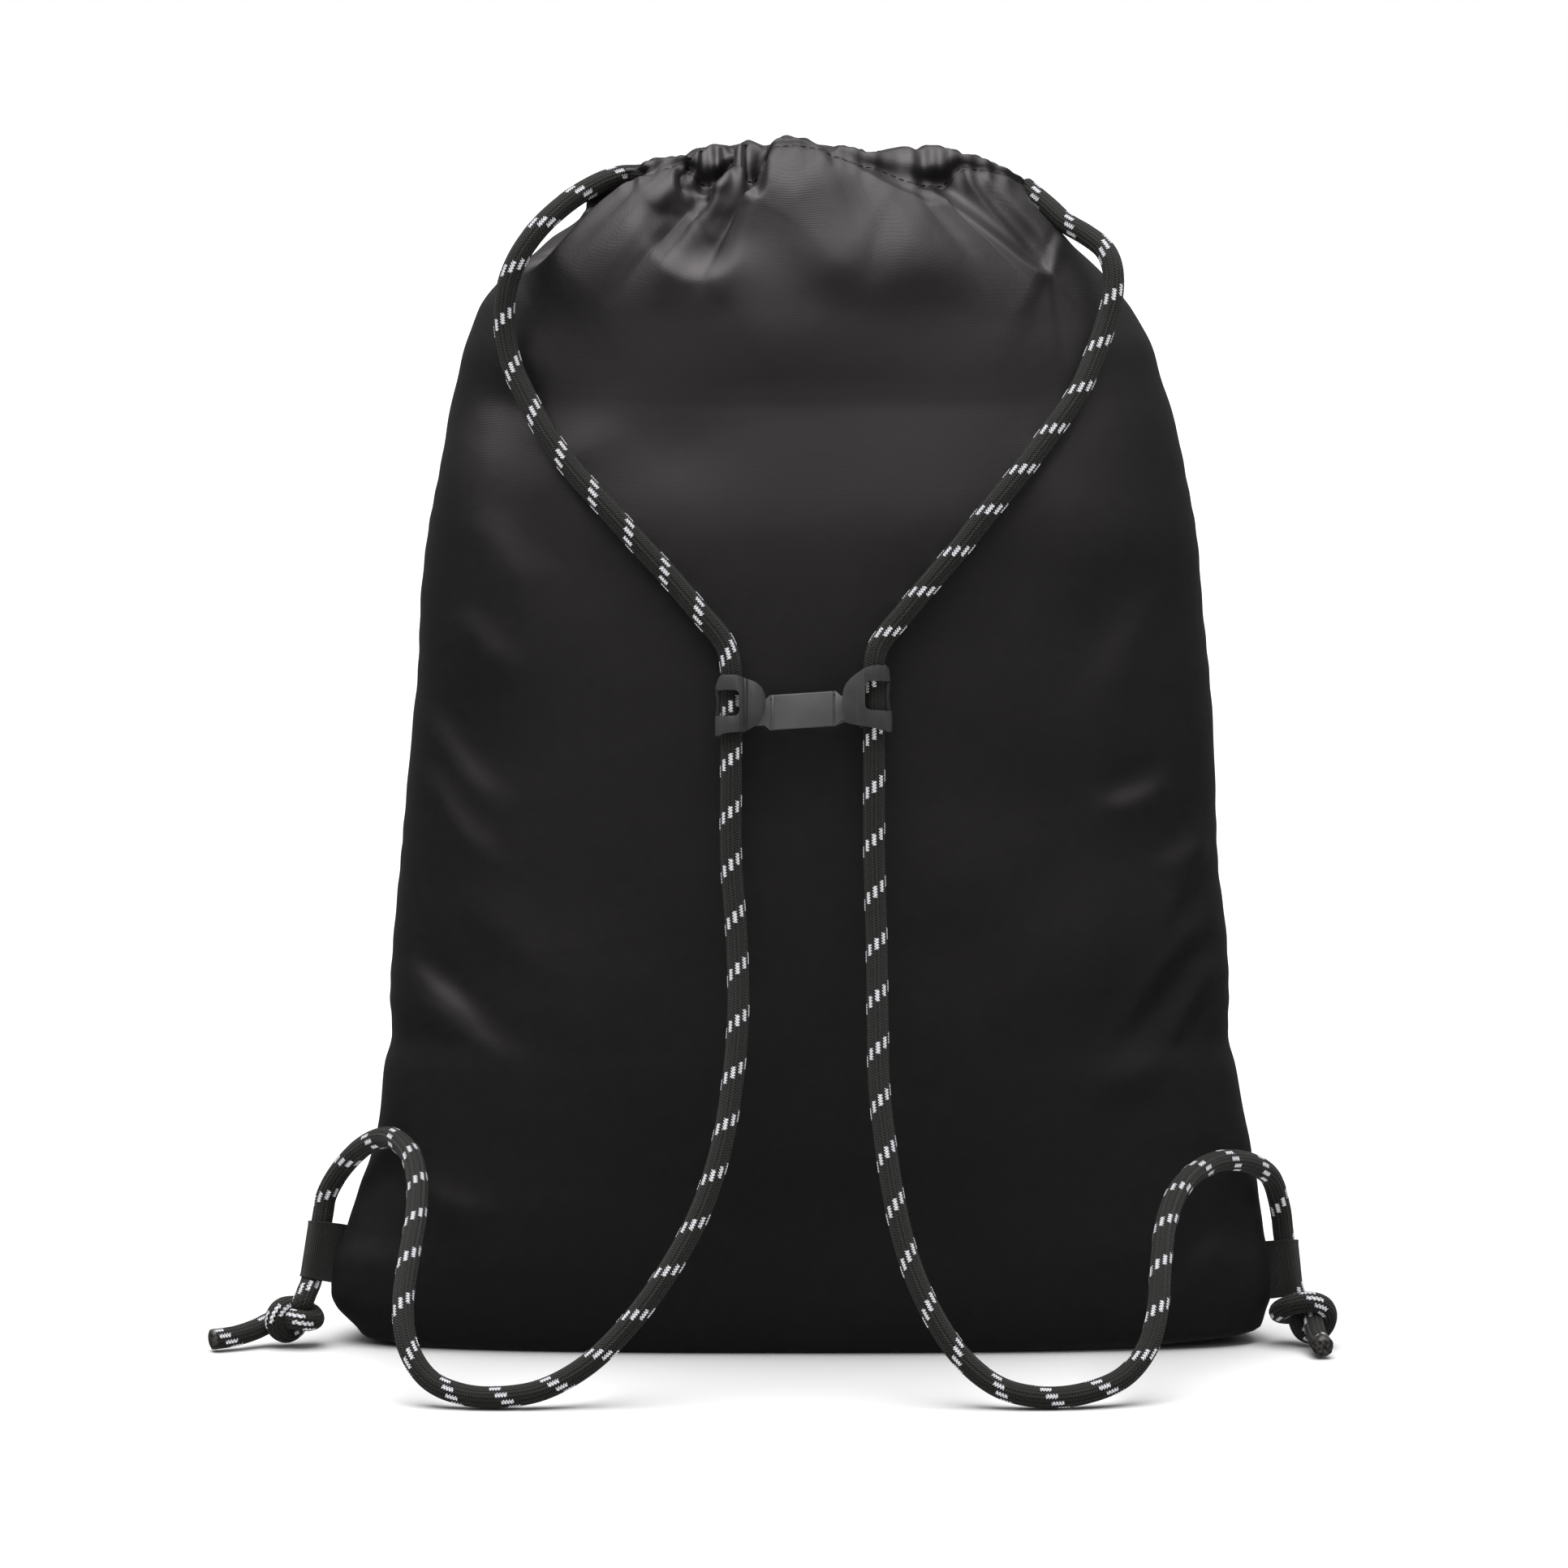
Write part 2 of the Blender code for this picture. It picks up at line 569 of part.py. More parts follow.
def main():
    clear_scene()
    parts = new_collection("drawstring_backpack")
    cutters = new_collection("cutters")
    build_panel("back_panel", -1, parts)
    build_panel("front_panel", 1, parts)
    build_base(parts)
    build_binding("left_seam_binding", -1, parts)
    build_binding("right_seam_binding", 1, parts)
    build_casing("back_casing", -1, BACK_CASING_END, parts)
    build_casing("front_casing", 1, FRONT_CASING_END, parts)
    build_cord("left_cord", LEFT_ROUTE, casing_run(-1, BACK_CASING_END)[::-1], parts)
    build_cord("right_cord", RIGHT_ROUTE, casing_run(1, FRONT_CASING_END), parts)
    build_loop("left_web_loop", LEFT_LOOP, -1, parts)
    build_loop("right_web_loop", RIGHT_LOOP, 1, parts)
    build_knot("left_knot", LEFT_KNOT, parts)
    build_knot("right_knot", RIGHT_KNOT, parts)
    tube("left_cord_tail", LEFT_TAIL, CORD_RADIUS, BLACK_CORD, parts)
    tube("right_cord_tail", RIGHT_TAIL, CORD_RADIUS, BLACK_CORD, parts)
    build_tip("left_cord_tip", LEFT_TAIL, parts)
    build_tip("right_cord_tip", RIGHT_TAIL, parts)
    build_clip("left_cord_clip", 1, LEFT_CLIP_AT, 0.0, parts, cutters)
    build_clip("right_cord_clip", -1, RIGHT_CLIP_AT, RIGHT_CLIP_RISE, parts, cutters)
    build_band(parts, cutters)


main()
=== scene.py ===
"""Looks of the drawstring backpack: cloth, braided cord, webbing, moulded clips and a studio."""

import math

import bmesh
import bpy
import numpy as np
from mathutils import Matrix, Vector, noise


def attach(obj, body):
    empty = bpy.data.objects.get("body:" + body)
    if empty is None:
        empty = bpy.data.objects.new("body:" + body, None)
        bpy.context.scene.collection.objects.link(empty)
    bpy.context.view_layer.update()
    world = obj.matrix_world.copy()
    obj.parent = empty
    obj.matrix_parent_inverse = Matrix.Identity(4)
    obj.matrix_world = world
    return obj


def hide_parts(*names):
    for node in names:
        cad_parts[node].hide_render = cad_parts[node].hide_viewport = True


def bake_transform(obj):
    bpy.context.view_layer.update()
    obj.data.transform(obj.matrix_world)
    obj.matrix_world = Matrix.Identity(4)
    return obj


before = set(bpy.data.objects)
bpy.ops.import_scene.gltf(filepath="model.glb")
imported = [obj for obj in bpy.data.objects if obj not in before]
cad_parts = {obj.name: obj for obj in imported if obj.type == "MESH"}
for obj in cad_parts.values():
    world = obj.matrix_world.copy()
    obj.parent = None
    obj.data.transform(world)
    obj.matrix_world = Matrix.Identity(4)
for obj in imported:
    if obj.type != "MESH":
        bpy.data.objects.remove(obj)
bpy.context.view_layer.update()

# ---------------------------------------------------------------- shared sizes

CORD_RADIUS = 0.004
STRAP_SIDE = -1
FAR_SIDE = 1
ROUNDNESS = 2.4
LOWEST = 0.0002  # nothing soft reaches below this


def placed(name, data):
    """A new object of this data, in the scene."""
    piece = bpy.data.objects.new(name, data)
    bpy.context.scene.collection.objects.link(piece)
    return piece


def distance_along(points):
    """How far along the line each of its points is."""
    return np.concatenate([[0], np.cumsum(np.linalg.norm(np.diff(points, axis=0), axis=1))])


def smooth_curve(knots, at):
    """Smooth value through (position, value) knots, at one position or an array of them."""
    knots = np.array(knots, float)
    xs, ys = knots[:, 0], knots[:, 1]
    steps = np.diff(xs)
    rises = np.diff(ys) / steps
    slopes = np.empty_like(ys)
    slopes[0], slopes[-1] = rises[0], rises[-1]
    both = rises[:-1] * rises[1:] > 0
    with np.errstate(divide="ignore", invalid="ignore"):
        middle = 2 * rises[:-1] * rises[1:] / (rises[:-1] + rises[1:])
    slopes[1:-1] = np.where(both, middle, 0.0)
    at = np.clip(np.asarray(at, float), xs[0], xs[-1])
    k = np.clip(np.searchsorted(xs, at, side="right") - 1, 0, len(xs) - 2)
    t = (at - xs[k]) / steps[k]
    h00 = 2 * t**3 - 3 * t**2 + 1
    h10 = t**3 - 2 * t**2 + t
    h01 = 3 * t**2 - 2 * t**3
    h11 = t**3 - t**2
    return h00 * ys[k] + h10 * steps[k] * slopes[k] + h01 * ys[k + 1] + h11 * steps[k] * slopes[k + 1]


def ease(low, high, value):
    """Rises softly from 0 at low to 1 at high."""
    t = np.clip((value - low) / (high - low), 0.0, 1.0)
    return t * t * (3 - 2 * t)


def smooth_path(points, step):
    """Points a step apart along the smooth curve through the given ones."""
    points = [Vector(point) for point in points]
    fine = []
    for i in range(len(points) - 1):
        a, b = points[max(i - 1, 0)], points[i]
        c, d = points[i + 1], points[min(i + 2, len(points) - 1)]
        for k in range(24):
            t = k / 24
            bend = (a * 2 - b * 5 + c * 4 - d) * t * t
            twist = (b * 3 - a - c * 3 + d) * t**3
            fine.append((b * 2 + (c - a) * t + bend + twist) * 0.5)
    fine.append(points[-1])
    fine = np.array([tuple(point) for point in fine])
    travelled = distance_along(fine)
    count = max(2, round(travelled[-1] / step))
    wanted = np.linspace(0, travelled[-1], count + 1)
    return np.stack([np.interp(wanted, travelled, fine[:, axis]) for axis in range(3)], axis=1)


# ---------------------------------------------------------------- camera and studio

CAMERA_AT = (-0.0066, -2.6, 0.5)
CAMERA_PITCH = math.radians(6.314)
CAMERA_LENS = 157.0
SKY_LOW = 0.05  # strength at eye level
SKY_HIGH = 0.8  # strength overhead
SKY_RISE = (0.05, 0.95)
SIDE_FALL = 0.55
OVERHEAD_POWER = 3.4
OVERHEAD_ANGLE = math.radians(64)
OVERHEAD_WAY = (0.08, 0.08, -1.0)
FLOOR_SIZE = 30.0
FLOOR_DROP = 0.0002


def build_camera():
    camera = placed("camera", bpy.data.cameras.new("camera"))
    camera.location = CAMERA_AT
    camera.rotation_euler = (math.radians(90) - CAMERA_PITCH, 0, 0)
    camera.data.lens = CAMERA_LENS
    camera.data.sensor_width = 36.0
    camera.data.clip_end = 50.0
    bpy.context.scene.camera = camera


def build_world():
    """White behind the object, and a soft sky that lights it: bright overhead, dim low down and aside."""
    n = Nodes(bpy.data.worlds.new("studio"))
    split = n.add("ShaderNodeSeparateXYZ")
    n.link(n.add("ShaderNodeTexCoord").outputs["Generated"], split.inputs[0])
    raised = n.smooth(split.outputs["Z"], *SKY_RISE, SKY_LOW, SKY_HIGH)
    aside = n.math("MULTIPLY", split.outputs["X"], split.outputs["X"])
    sky = n.add("ShaderNodeBackground")
    n.link(n.math("MULTIPLY", raised, n.math("MULTIPLY_ADD", aside, -SIDE_FALL, 1.0)), sky.inputs["Strength"])
    white = n.tree.nodes["Background"]
    white.inputs["Color"].default_value = (1.0, 1.0, 1.0, 1.0)
    choose = n.add("ShaderNodeMixShader")
    n.link(n.add("ShaderNodeLightPath").outputs["Is Camera Ray"], choose.inputs["Fac"])
    n.link(sky.outputs[0], choose.inputs[1])
    n.link(white.outputs[0], choose.inputs[2])
    n.link(choose.outputs[0], n.tree.nodes["World Output"].inputs["Surface"])
    bpy.context.scene.world = n.holder


def build_studio():
    scene = bpy.context.scene
    scene.view_settings.view_transform = "Standard"
    scene.view_settings.look = "None"
    build_world()
    floor_mesh = bpy.data.meshes.new("studio_floor")
    work = bmesh.new()
    bmesh.ops.create_grid(work, x_segments=8, y_segments=8, size=FLOOR_SIZE)
    work.to_mesh(floor_mesh)
    work.free()
    floor = placed("studio_floor", floor_mesh)
    floor.location = (0, 0, -FLOOR_DROP)
    floor.visible_glossy = False
    paint = Nodes(bpy.data.materials.new("studio_paper"))
    paint.set(Base_Color=(0.94, 0.94, 0.94, 1), Roughness=0.9, Specular_IOR_Level=0.1)
    floor_mesh.materials.append(paint.holder)
    overhead = bpy.data.lights.new("overhead_softlight", "SUN")
    overhead.energy = OVERHEAD_POWER
    overhead.angle = OVERHEAD_ANGLE
    lamp = placed("overhead_softlight", overhead)
    lamp.rotation_euler = Vector(OVERHEAD_WAY).to_track_quat("-Z", "Y").to_euler()


# ---------------------------------------------------------------- materials


class Nodes:
    """Short ways to add shader nodes to a new material or world."""

    def __init__(self, holder):
        self.holder = holder
        self.holder.use_nodes = True
        self.tree = self.holder.node_tree
        self.shader = self.tree.nodes.get("Principled BSDF")

    def add(self, kind, **settings):
        node = self.tree.nodes.new(kind)
        for key, value in settings.items():
            setattr(node, key, value)
        return node

    def link(self, source, target):
        self.tree.links.new(source, target)

    def feed(self, socket, value):
        if isinstance(value, bpy.types.NodeSocket):
            self.link(value, socket)
        else:
            socket.default_value = value

    def math(self, operation, a, b=0.0, c=0.0):
        node = self.add("ShaderNodeMath", operation=operation)
        for socket, value in zip(node.inputs, (a, b, c)):
            self.feed(socket, value)
        return node.outputs[0]

    def smooth(self, value, low, high, to_low=0.0, to_high=1.0):
        node = self.add("ShaderNodeMapRange", interpolation_type="SMOOTHSTEP")
        for socket, given in zip(node.inputs, (value, low, high, to_low, to_high)):
            self.feed(socket, given)
        return node.outputs["Result"]

    def mix(self, factor, a, b):
        node = self.add("ShaderNodeMix", data_type="RGBA")
        self.feed(node.inputs["Factor"], factor)
        self.feed(node.inputs["A"], a)
        self.feed(node.inputs["B"], b)
        return node.outputs["Result"]

    def noise(self, scale, detail, roughness=0.5):
        """Noise over the piece, in its own coordinates."""
        node = self.add("ShaderNodeTexNoise")
        self.link(self.add("ShaderNodeTexCoord").outputs["Object"], node.inputs["Vector"])
        node.inputs["Scale"].default_value = scale
        node.inputs["Detail"].default_value = detail
        node.inputs["Roughness"].default_value = roughness
        return node.outputs["Fac"]

    def uv(self):
        """The u and v of the piece's own layout, in metres."""
        split = self.add("ShaderNodeSeparateXYZ")
        self.link(self.add("ShaderNodeUVMap", uv_map="layout").outputs["UV"], split.inputs[0])
        return split.outputs["X"], split.outputs["Y"]

    def bump(self, height, strength, distance, normal=None):
        node = self.add("ShaderNodeBump")
        node.inputs["Strength"].default_value = strength
        node.inputs["Distance"].default_value = distance
        self.link(height, node.inputs["Height"])
        if normal is not None:
            self.link(normal, node.inputs["Normal"])
        return node.outputs["Normal"]

    def set(self, **values):
        for key, value in values.items():
            self.feed(self.shader.inputs[key.replace("_", " ")], value)


WEAVE_PITCH = 0.00074
WEAVE_ROW = 0.62  # a row's height, as a share of the pitch
WEAVE_WANDER = 0.001


def cloth_material():
    """Fine black polyester with a satin sheen: a plain weave of 0.74 mm dots in offset rows, with painted
    shade between the dots.
    """
    n = Nodes(bpy.data.materials.new("bag_cloth_satin"))
    u, v = n.uv()
    wander = n.math("MULTIPLY", n.math("SUBTRACT", n.noise(60.0, 2.0), 0.5), WEAVE_WANDER)
    row = n.math("DIVIDE", n.math("ADD", v, wander), WEAVE_PITCH * WEAVE_ROW)
    shift = n.math("FRACT", n.math("MULTIPLY", n.math("FLOOR", row), 0.5))
    column = n.math("ADD", n.math("DIVIDE", n.math("ADD", u, wander), WEAVE_PITCH), shift)
    warp = n.math("SINE", n.math("MULTIPLY", n.math("FRACT", column), math.pi))
    weft = n.math("SINE", n.math("MULTIPLY", n.math("FRACT", row), math.pi))
    weave = n.math("MULTIPLY", warp, weft)
    patches = n.noise(9.0, 4.0)
    slubs = n.noise(240.0, 2.0)
    # painted shade: the weave's dots are lighter and the gaps between them darker; slubs and patches add
    # random tone
    weave_shade_and_tone = n.math("ADD", n.math("MULTIPLY", weave, 0.55), n.math("MULTIPLY", slubs, 0.16))
    weave_shade_and_tone = n.math("ADD", weave_shade_and_tone, n.math("MULTIPLY", patches, 0.22))
    color = n.mix(n.smooth(weave_shade_and_tone, 0.1, 0.75), (0.0032, 0.003, 0.0032, 1), (0.015, 0.0142, 0.0146, 1))
    rough = n.math("ADD", 0.345, n.math("MULTIPLY", slubs, 0.1))
    fine = n.bump(weave, 0.5, 0.00014)
    creases = n.bump(n.noise(26.0, 5.0, 0.55), 0.16, 0.0014, fine)
    n.set(Base_Color=color, Roughness=rough, Normal=creases)
    n.set(Specular_IOR_Level=0.78, Sheen_Weight=0.04, Sheen_Roughness=0.4)
    n.shader.inputs["Specular Tint"].default_value = (1.0, 0.925, 0.955, 1)
    n.shader.inputs["Sheen Tint"].default_value = (0.92, 0.88, 0.9, 1)
    return n.holder


TRACER_PITCH = 0.0196  # from one white dash to the next, along a column
TRACER_COLUMNS = 9
TRACER_DASH = 0.0043
BEAD = 0.00105  # one V stitch, along the cord


def cord_material():
    """Black braid, V stitches in columns, and white dashes that wind round it; painted shade darkens the
    hollows between the stitches.
    """
    n = Nodes(bpy.data.materials.new("cord_braid"))
    around, along = n.uv()
    turn = n.math("MULTIPLY", around, float(TRACER_COLUMNS))
    column = n.math("FLOOR", turn)
    across = n.math("SUBTRACT", n.math("FRACT", turn), 0.5)
    shift = n.math("MULTIPLY", column, TRACER_PITCH / TRACER_COLUMNS)
    travel = n.math("SUBTRACT", along, shift)
    phase = n.math("FRACT", n.math("DIVIDE", along, BEAD))
    zigzag = n.math("SUBTRACT", n.math("ABSOLUTE", n.math("SUBTRACT", phase, 0.5)), 0.25)
    wobble = n.math("ADD", across, n.math("MULTIPLY", zigzag, 0.5))
    repeat = n.math("FRACT", n.math("DIVIDE", travel, TRACER_PITCH))
    from_middle = n.math("ABSOLUTE", n.math("SUBTRACT", repeat, 0.5))
    half = TRACER_DASH / TRACER_PITCH / 2
    lengthwise = n.math("SUBTRACT", 1.0, n.smooth(from_middle, half - 0.006, half + 0.006))
    sideways = n.math("SUBTRACT", 1.0, n.smooth(n.math("ABSOLUTE", wobble), 0.22, 0.29))
    dash = n.math("MULTIPLY", lengthwise, sideways)
    # V stitches: the two halves of each column slant opposite ways
    half_columns = n.math("MULTIPLY", around, float(TRACER_COLUMNS * 2))
    slant = n.math("MULTIPLY", n.math("ABSOLUTE", across), 2.3)
    turned = n.math("MULTIPLY", n.math("ADD", n.math("DIVIDE", along, BEAD), slant), 2 * math.pi)
    stitch = n.math("MULTIPLY_ADD", n.math("SINE", turned), 0.5, 0.5)
    rib = n.math("ABSOLUTE", n.math("SINE", n.math("MULTIPLY", half_columns, math.pi)))
    height = n.math("MULTIPLY", n.math("POWER", stitch, 0.7), n.math("MULTIPLY_ADD", rib, 0.7, 0.3))
    fibres = n.noise(900.0, 2.0)
    # painted shade: the black is darker in the hollows between stitches and lighter on their crests; fibres
    # add random tone
    dark = n.mix(n.smooth(height, 0.15, 0.95), (0.003, 0.003, 0.0026, 1), (0.027, 0.0268, 0.0235, 1))
    dark = n.mix(n.math("MULTIPLY", fibres, 0.25), dark, (0.04, 0.04, 0.035, 1))
    # painted shade: the white dashes go grey in the stitches' hollows
    white = n.mix(n.smooth(stitch, 0.0, 0.45), (0.3, 0.3, 0.34, 1), (0.88, 0.88, 0.92, 1))
    color = n.mix(dash, dark, white)
    n.set(Base_Color=color, Roughness=0.62, Normal=n.bump(height, 0.9, 0.00035))
    n.set(Specular_IOR_Level=0.3, Sheen_Weight=0.1, Sheen_Roughness=0.45)
    return n.holder


WEB_RIB_PITCH = 0.0008
WEB_THREAD_PITCH = 0.0005


def web_material():
    """Ribbed webbing: ribs run round the loop's height, woven threads across them, with painted shade in the
    grooves between the ribs.
    """
    n = Nodes(bpy.data.materials.new("web_grosgrain"))
    u, v = n.uv()
    rib = n.math("ABSOLUTE", n.math("SINE", n.math("MULTIPLY", u, math.pi / WEB_RIB_PITCH)))
    thread = n.math("SINE", n.math("MULTIPLY", v, 2 * math.pi / WEB_THREAD_PITCH))
    fuzz = n.noise(500.0, 2.0)
    height = n.math("ADD", rib, n.math("MULTIPLY", thread, 0.15))
    # painted shade: darker in the grooves between ribs, lighter on their crests; fuzz adds random tone
    color = n.mix(n.smooth(rib, 0.15, 0.95), (0.0025, 0.0025, 0.0025, 1), (0.022, 0.022, 0.02, 1))
    color = n.mix(n.math("MULTIPLY", fuzz, 0.2), color, (0.036, 0.035, 0.032, 1))
    n.set(Base_Color=color, Roughness=0.68, Normal=n.bump(height, 0.9, 0.00035))
    n.set(Specular_IOR_Level=0.25, Sheen_Weight=0.12, Sheen_Roughness=0.45)
    return n.holder


def plastic_material(name, light, dark, roughness):
    """Moulded plastic with a fine spark-eroded grain."""
    n = Nodes(bpy.data.materials.new(name))
    grain = n.noise(2600.0, 2.0)
    cloud = n.noise(120.0, 3.0)
    color = n.mix(n.smooth(cloud, 0.3, 0.7), dark, light)
    rough = n.math("ADD", roughness, n.math("MULTIPLY", grain, 0.1))
    n.set(Base_Color=color, Roughness=rough, Normal=n.bump(grain, 0.25, 0.0001))
    n.set(Specular_IOR_Level=0.5)
    return n.holder


def thread_material():
    n = Nodes(bpy.data.materials.new("sewing_thread"))
    twist = n.noise(1500.0, 2.0)
    color = n.mix(twist, (0.004, 0.004, 0.004, 1), (0.016, 0.015, 0.015, 1))
    n.set(Base_Color=color, Roughness=0.7, Normal=n.bump(twist, 0.4, 0.0001))
    return n.holder


def melted_material():
    """A cord end sealed by heat: lumpy, darker and a little glossy."""
    n = Nodes(bpy.data.materials.new("melted_cord_end"))
    lumps = n.noise(700.0, 3.0)
    color = n.mix(n.smooth(lumps, 0.35, 0.65), (0.018, 0.016, 0.014, 1), (0.07, 0.064, 0.058, 1))
    n.set(Base_Color=color, Roughness=0.42, Normal=n.bump(lumps, 0.8, 0.0004))
    return n.holder


def tape_material():
    n = Nodes(bpy.data.materials.new("binding_tape_weave"))
    threads = n.noise(1200.0, 2.0)
    color = n.mix(threads, (0.008, 0.008, 0.008, 1), (0.026, 0.026, 0.026, 1))
    n.set(Base_Color=color, Roughness=0.85, Normal=n.bump(threads, 0.5, 0.0002))
    return n.holder


# ---------------------------------------------------------------- the bag's cloth

# Outline on the left and on the right: (height, reach)
LEFT_EDGE = (
    (0.0, 0.1575), (0.0025, 0.1675), (0.006, 0.1705), (0.01, 0.1745), (0.014, 0.178), (0.019, 0.18),
    (0.0315, 0.1792), (0.044, 0.1738), (0.057, 0.1697), (0.07, 0.165), (0.082, 0.1618), (0.1075, 0.159),
    (0.12, 0.156), (0.133, 0.1568), (0.158, 0.1557), (0.183, 0.1532), (0.208, 0.1507), (0.233, 0.1482),
    (0.258, 0.1456), (0.283, 0.1446), (0.3075, 0.1421), (0.332, 0.1377), (0.357, 0.1333), (0.369, 0.1305),
    (0.382, 0.127), (0.394, 0.1222),
)
RIGHT_EDGE = (
    (0.0, 0.144), (0.0015, 0.154), (0.003, 0.168), (0.006, 0.176), (0.0125, 0.1782), (0.019, 0.1803),
    (0.0315, 0.1797), (0.044, 0.1771), (0.057, 0.1754), (0.07, 0.1732), (0.082, 0.1709), (0.1075, 0.166),
    (0.12, 0.1632), (0.133, 0.1634), (0.158, 0.1622), (0.183, 0.1593), (0.208, 0.1583), (0.233, 0.1572),
    (0.258, 0.1553), (0.283, 0.1525), (0.3075, 0.1505), (0.332, 0.1463), (0.345, 0.1437), (0.357, 0.1406),
    (0.369, 0.1366), (0.382, 0.1325), (0.394, 0.1254),
)
STRAP_DEPTH = (
    (0.0, 0.024), (0.004, 0.0275), (0.012, 0.032), (0.03, 0.037), (0.06, 0.043), (0.1, 0.0495),
    (0.15, 0.0555), (0.205, 0.0595), (0.265, 0.062), (0.31, 0.0615), (0.34, 0.059), (0.37, 0.0535),
    (0.394, 0.0472),
)
FAR_DEPTH = (
    (0.0, 0.064), (0.006, 0.071), (0.018, 0.077), (0.034, 0.083), (0.06, 0.09), (0.095, 0.0955),
    (0.145, 0.0965), (0.205, 0.092), (0.265, 0.0835), (0.32, 0.073), (0.36, 0.061), (0.394, 0.049),
)
SEAM_Y = ((0.0, -0.02), (0.034, -0.019), (0.095, -0.0155), (0.205, -0.009), (0.32, -0.002), (0.36, 0.0))
SHOULDER = 0.394

# Height of the casing's stitch line and of the mouth's rim, from left to right: (x, height)
STITCH_LINE = (
    (-0.083, 0.431), (-0.076, 0.4372), (-0.07, 0.4398), (-0.064, 0.4418), (-0.058, 0.4432),
    (-0.05, 0.4475), (-0.044, 0.4495), (-0.04, 0.447), (-0.036, 0.442), (-0.031, 0.444), (-0.0265, 0.449),
    (-0.0225, 0.447), (-0.0185, 0.443), (-0.015, 0.45), (-0.011, 0.4552), (-0.003, 0.4562),
    (0.006, 0.4548), (0.013, 0.4518), (0.0205, 0.4488), (0.027, 0.448), (0.034, 0.4455), (0.0415, 0.442),
    (0.047, 0.4415), (0.052, 0.441), (0.057, 0.446), (0.061, 0.4485), (0.066, 0.4468), (0.071, 0.4462),
    (0.079, 0.4435), (0.085, 0.4405),
)
RIM_LINE = (
    (-0.076, 0.4385), (-0.07, 0.4425), (-0.064, 0.4462), (-0.06, 0.4478), (-0.054, 0.4502),
    (-0.045, 0.4515), (-0.0395, 0.4528), (-0.036, 0.455), (-0.033, 0.4563), (-0.0285, 0.4556),
    (-0.0255, 0.4548), (-0.0193, 0.4572), (-0.0135, 0.4556), (-0.0055, 0.4588), (0.002, 0.4578),
    (0.01, 0.4548), (0.0145, 0.4558), (0.019, 0.455), (0.026, 0.4532), (0.0335, 0.4546), (0.039, 0.4554),
    (0.043, 0.4542), (0.0475, 0.4558), (0.058, 0.4532), (0.0665, 0.4506), (0.0755, 0.4456), (0.08, 0.443),
)
STITCH_DEPTH = 0.0255
FOLD_LEAN = 0.9
RIM_DEPTH = 0.006
MOUTH_MIDDLE = 0.006

# Broad swells of the strap side: (x, z, reach in x, reach in z, height)
SWELLS = (
    (0.002, 0.398, 0.062, 0.03, 0.0065),
    (-0.07, 0.414, 0.03, 0.024, 0.0022),
    (0.04, 0.414, 0.03, 0.016, 0.0035),
    (0.0, 0.31, 0.095, 0.04, 0.0025),
    (-0.045, 0.345, 0.022, 0.014, -0.0012),
    (-0.13, 0.33, 0.018, 0.02, 0.0016),
    (-0.112, 0.356, 0.016, 0.014, -0.0035),
    (0.095, 0.2, 0.03, 0.03, -0.002),
    (0.125, 0.135, 0.018, 0.022, -0.0022),
    (-0.125, 0.15, 0.02, 0.022, -0.0018),
    (-0.12, 0.235, 0.018, 0.03, -0.0016),
    (0.0, 0.11, 0.08, 0.05, 0.0015),
)

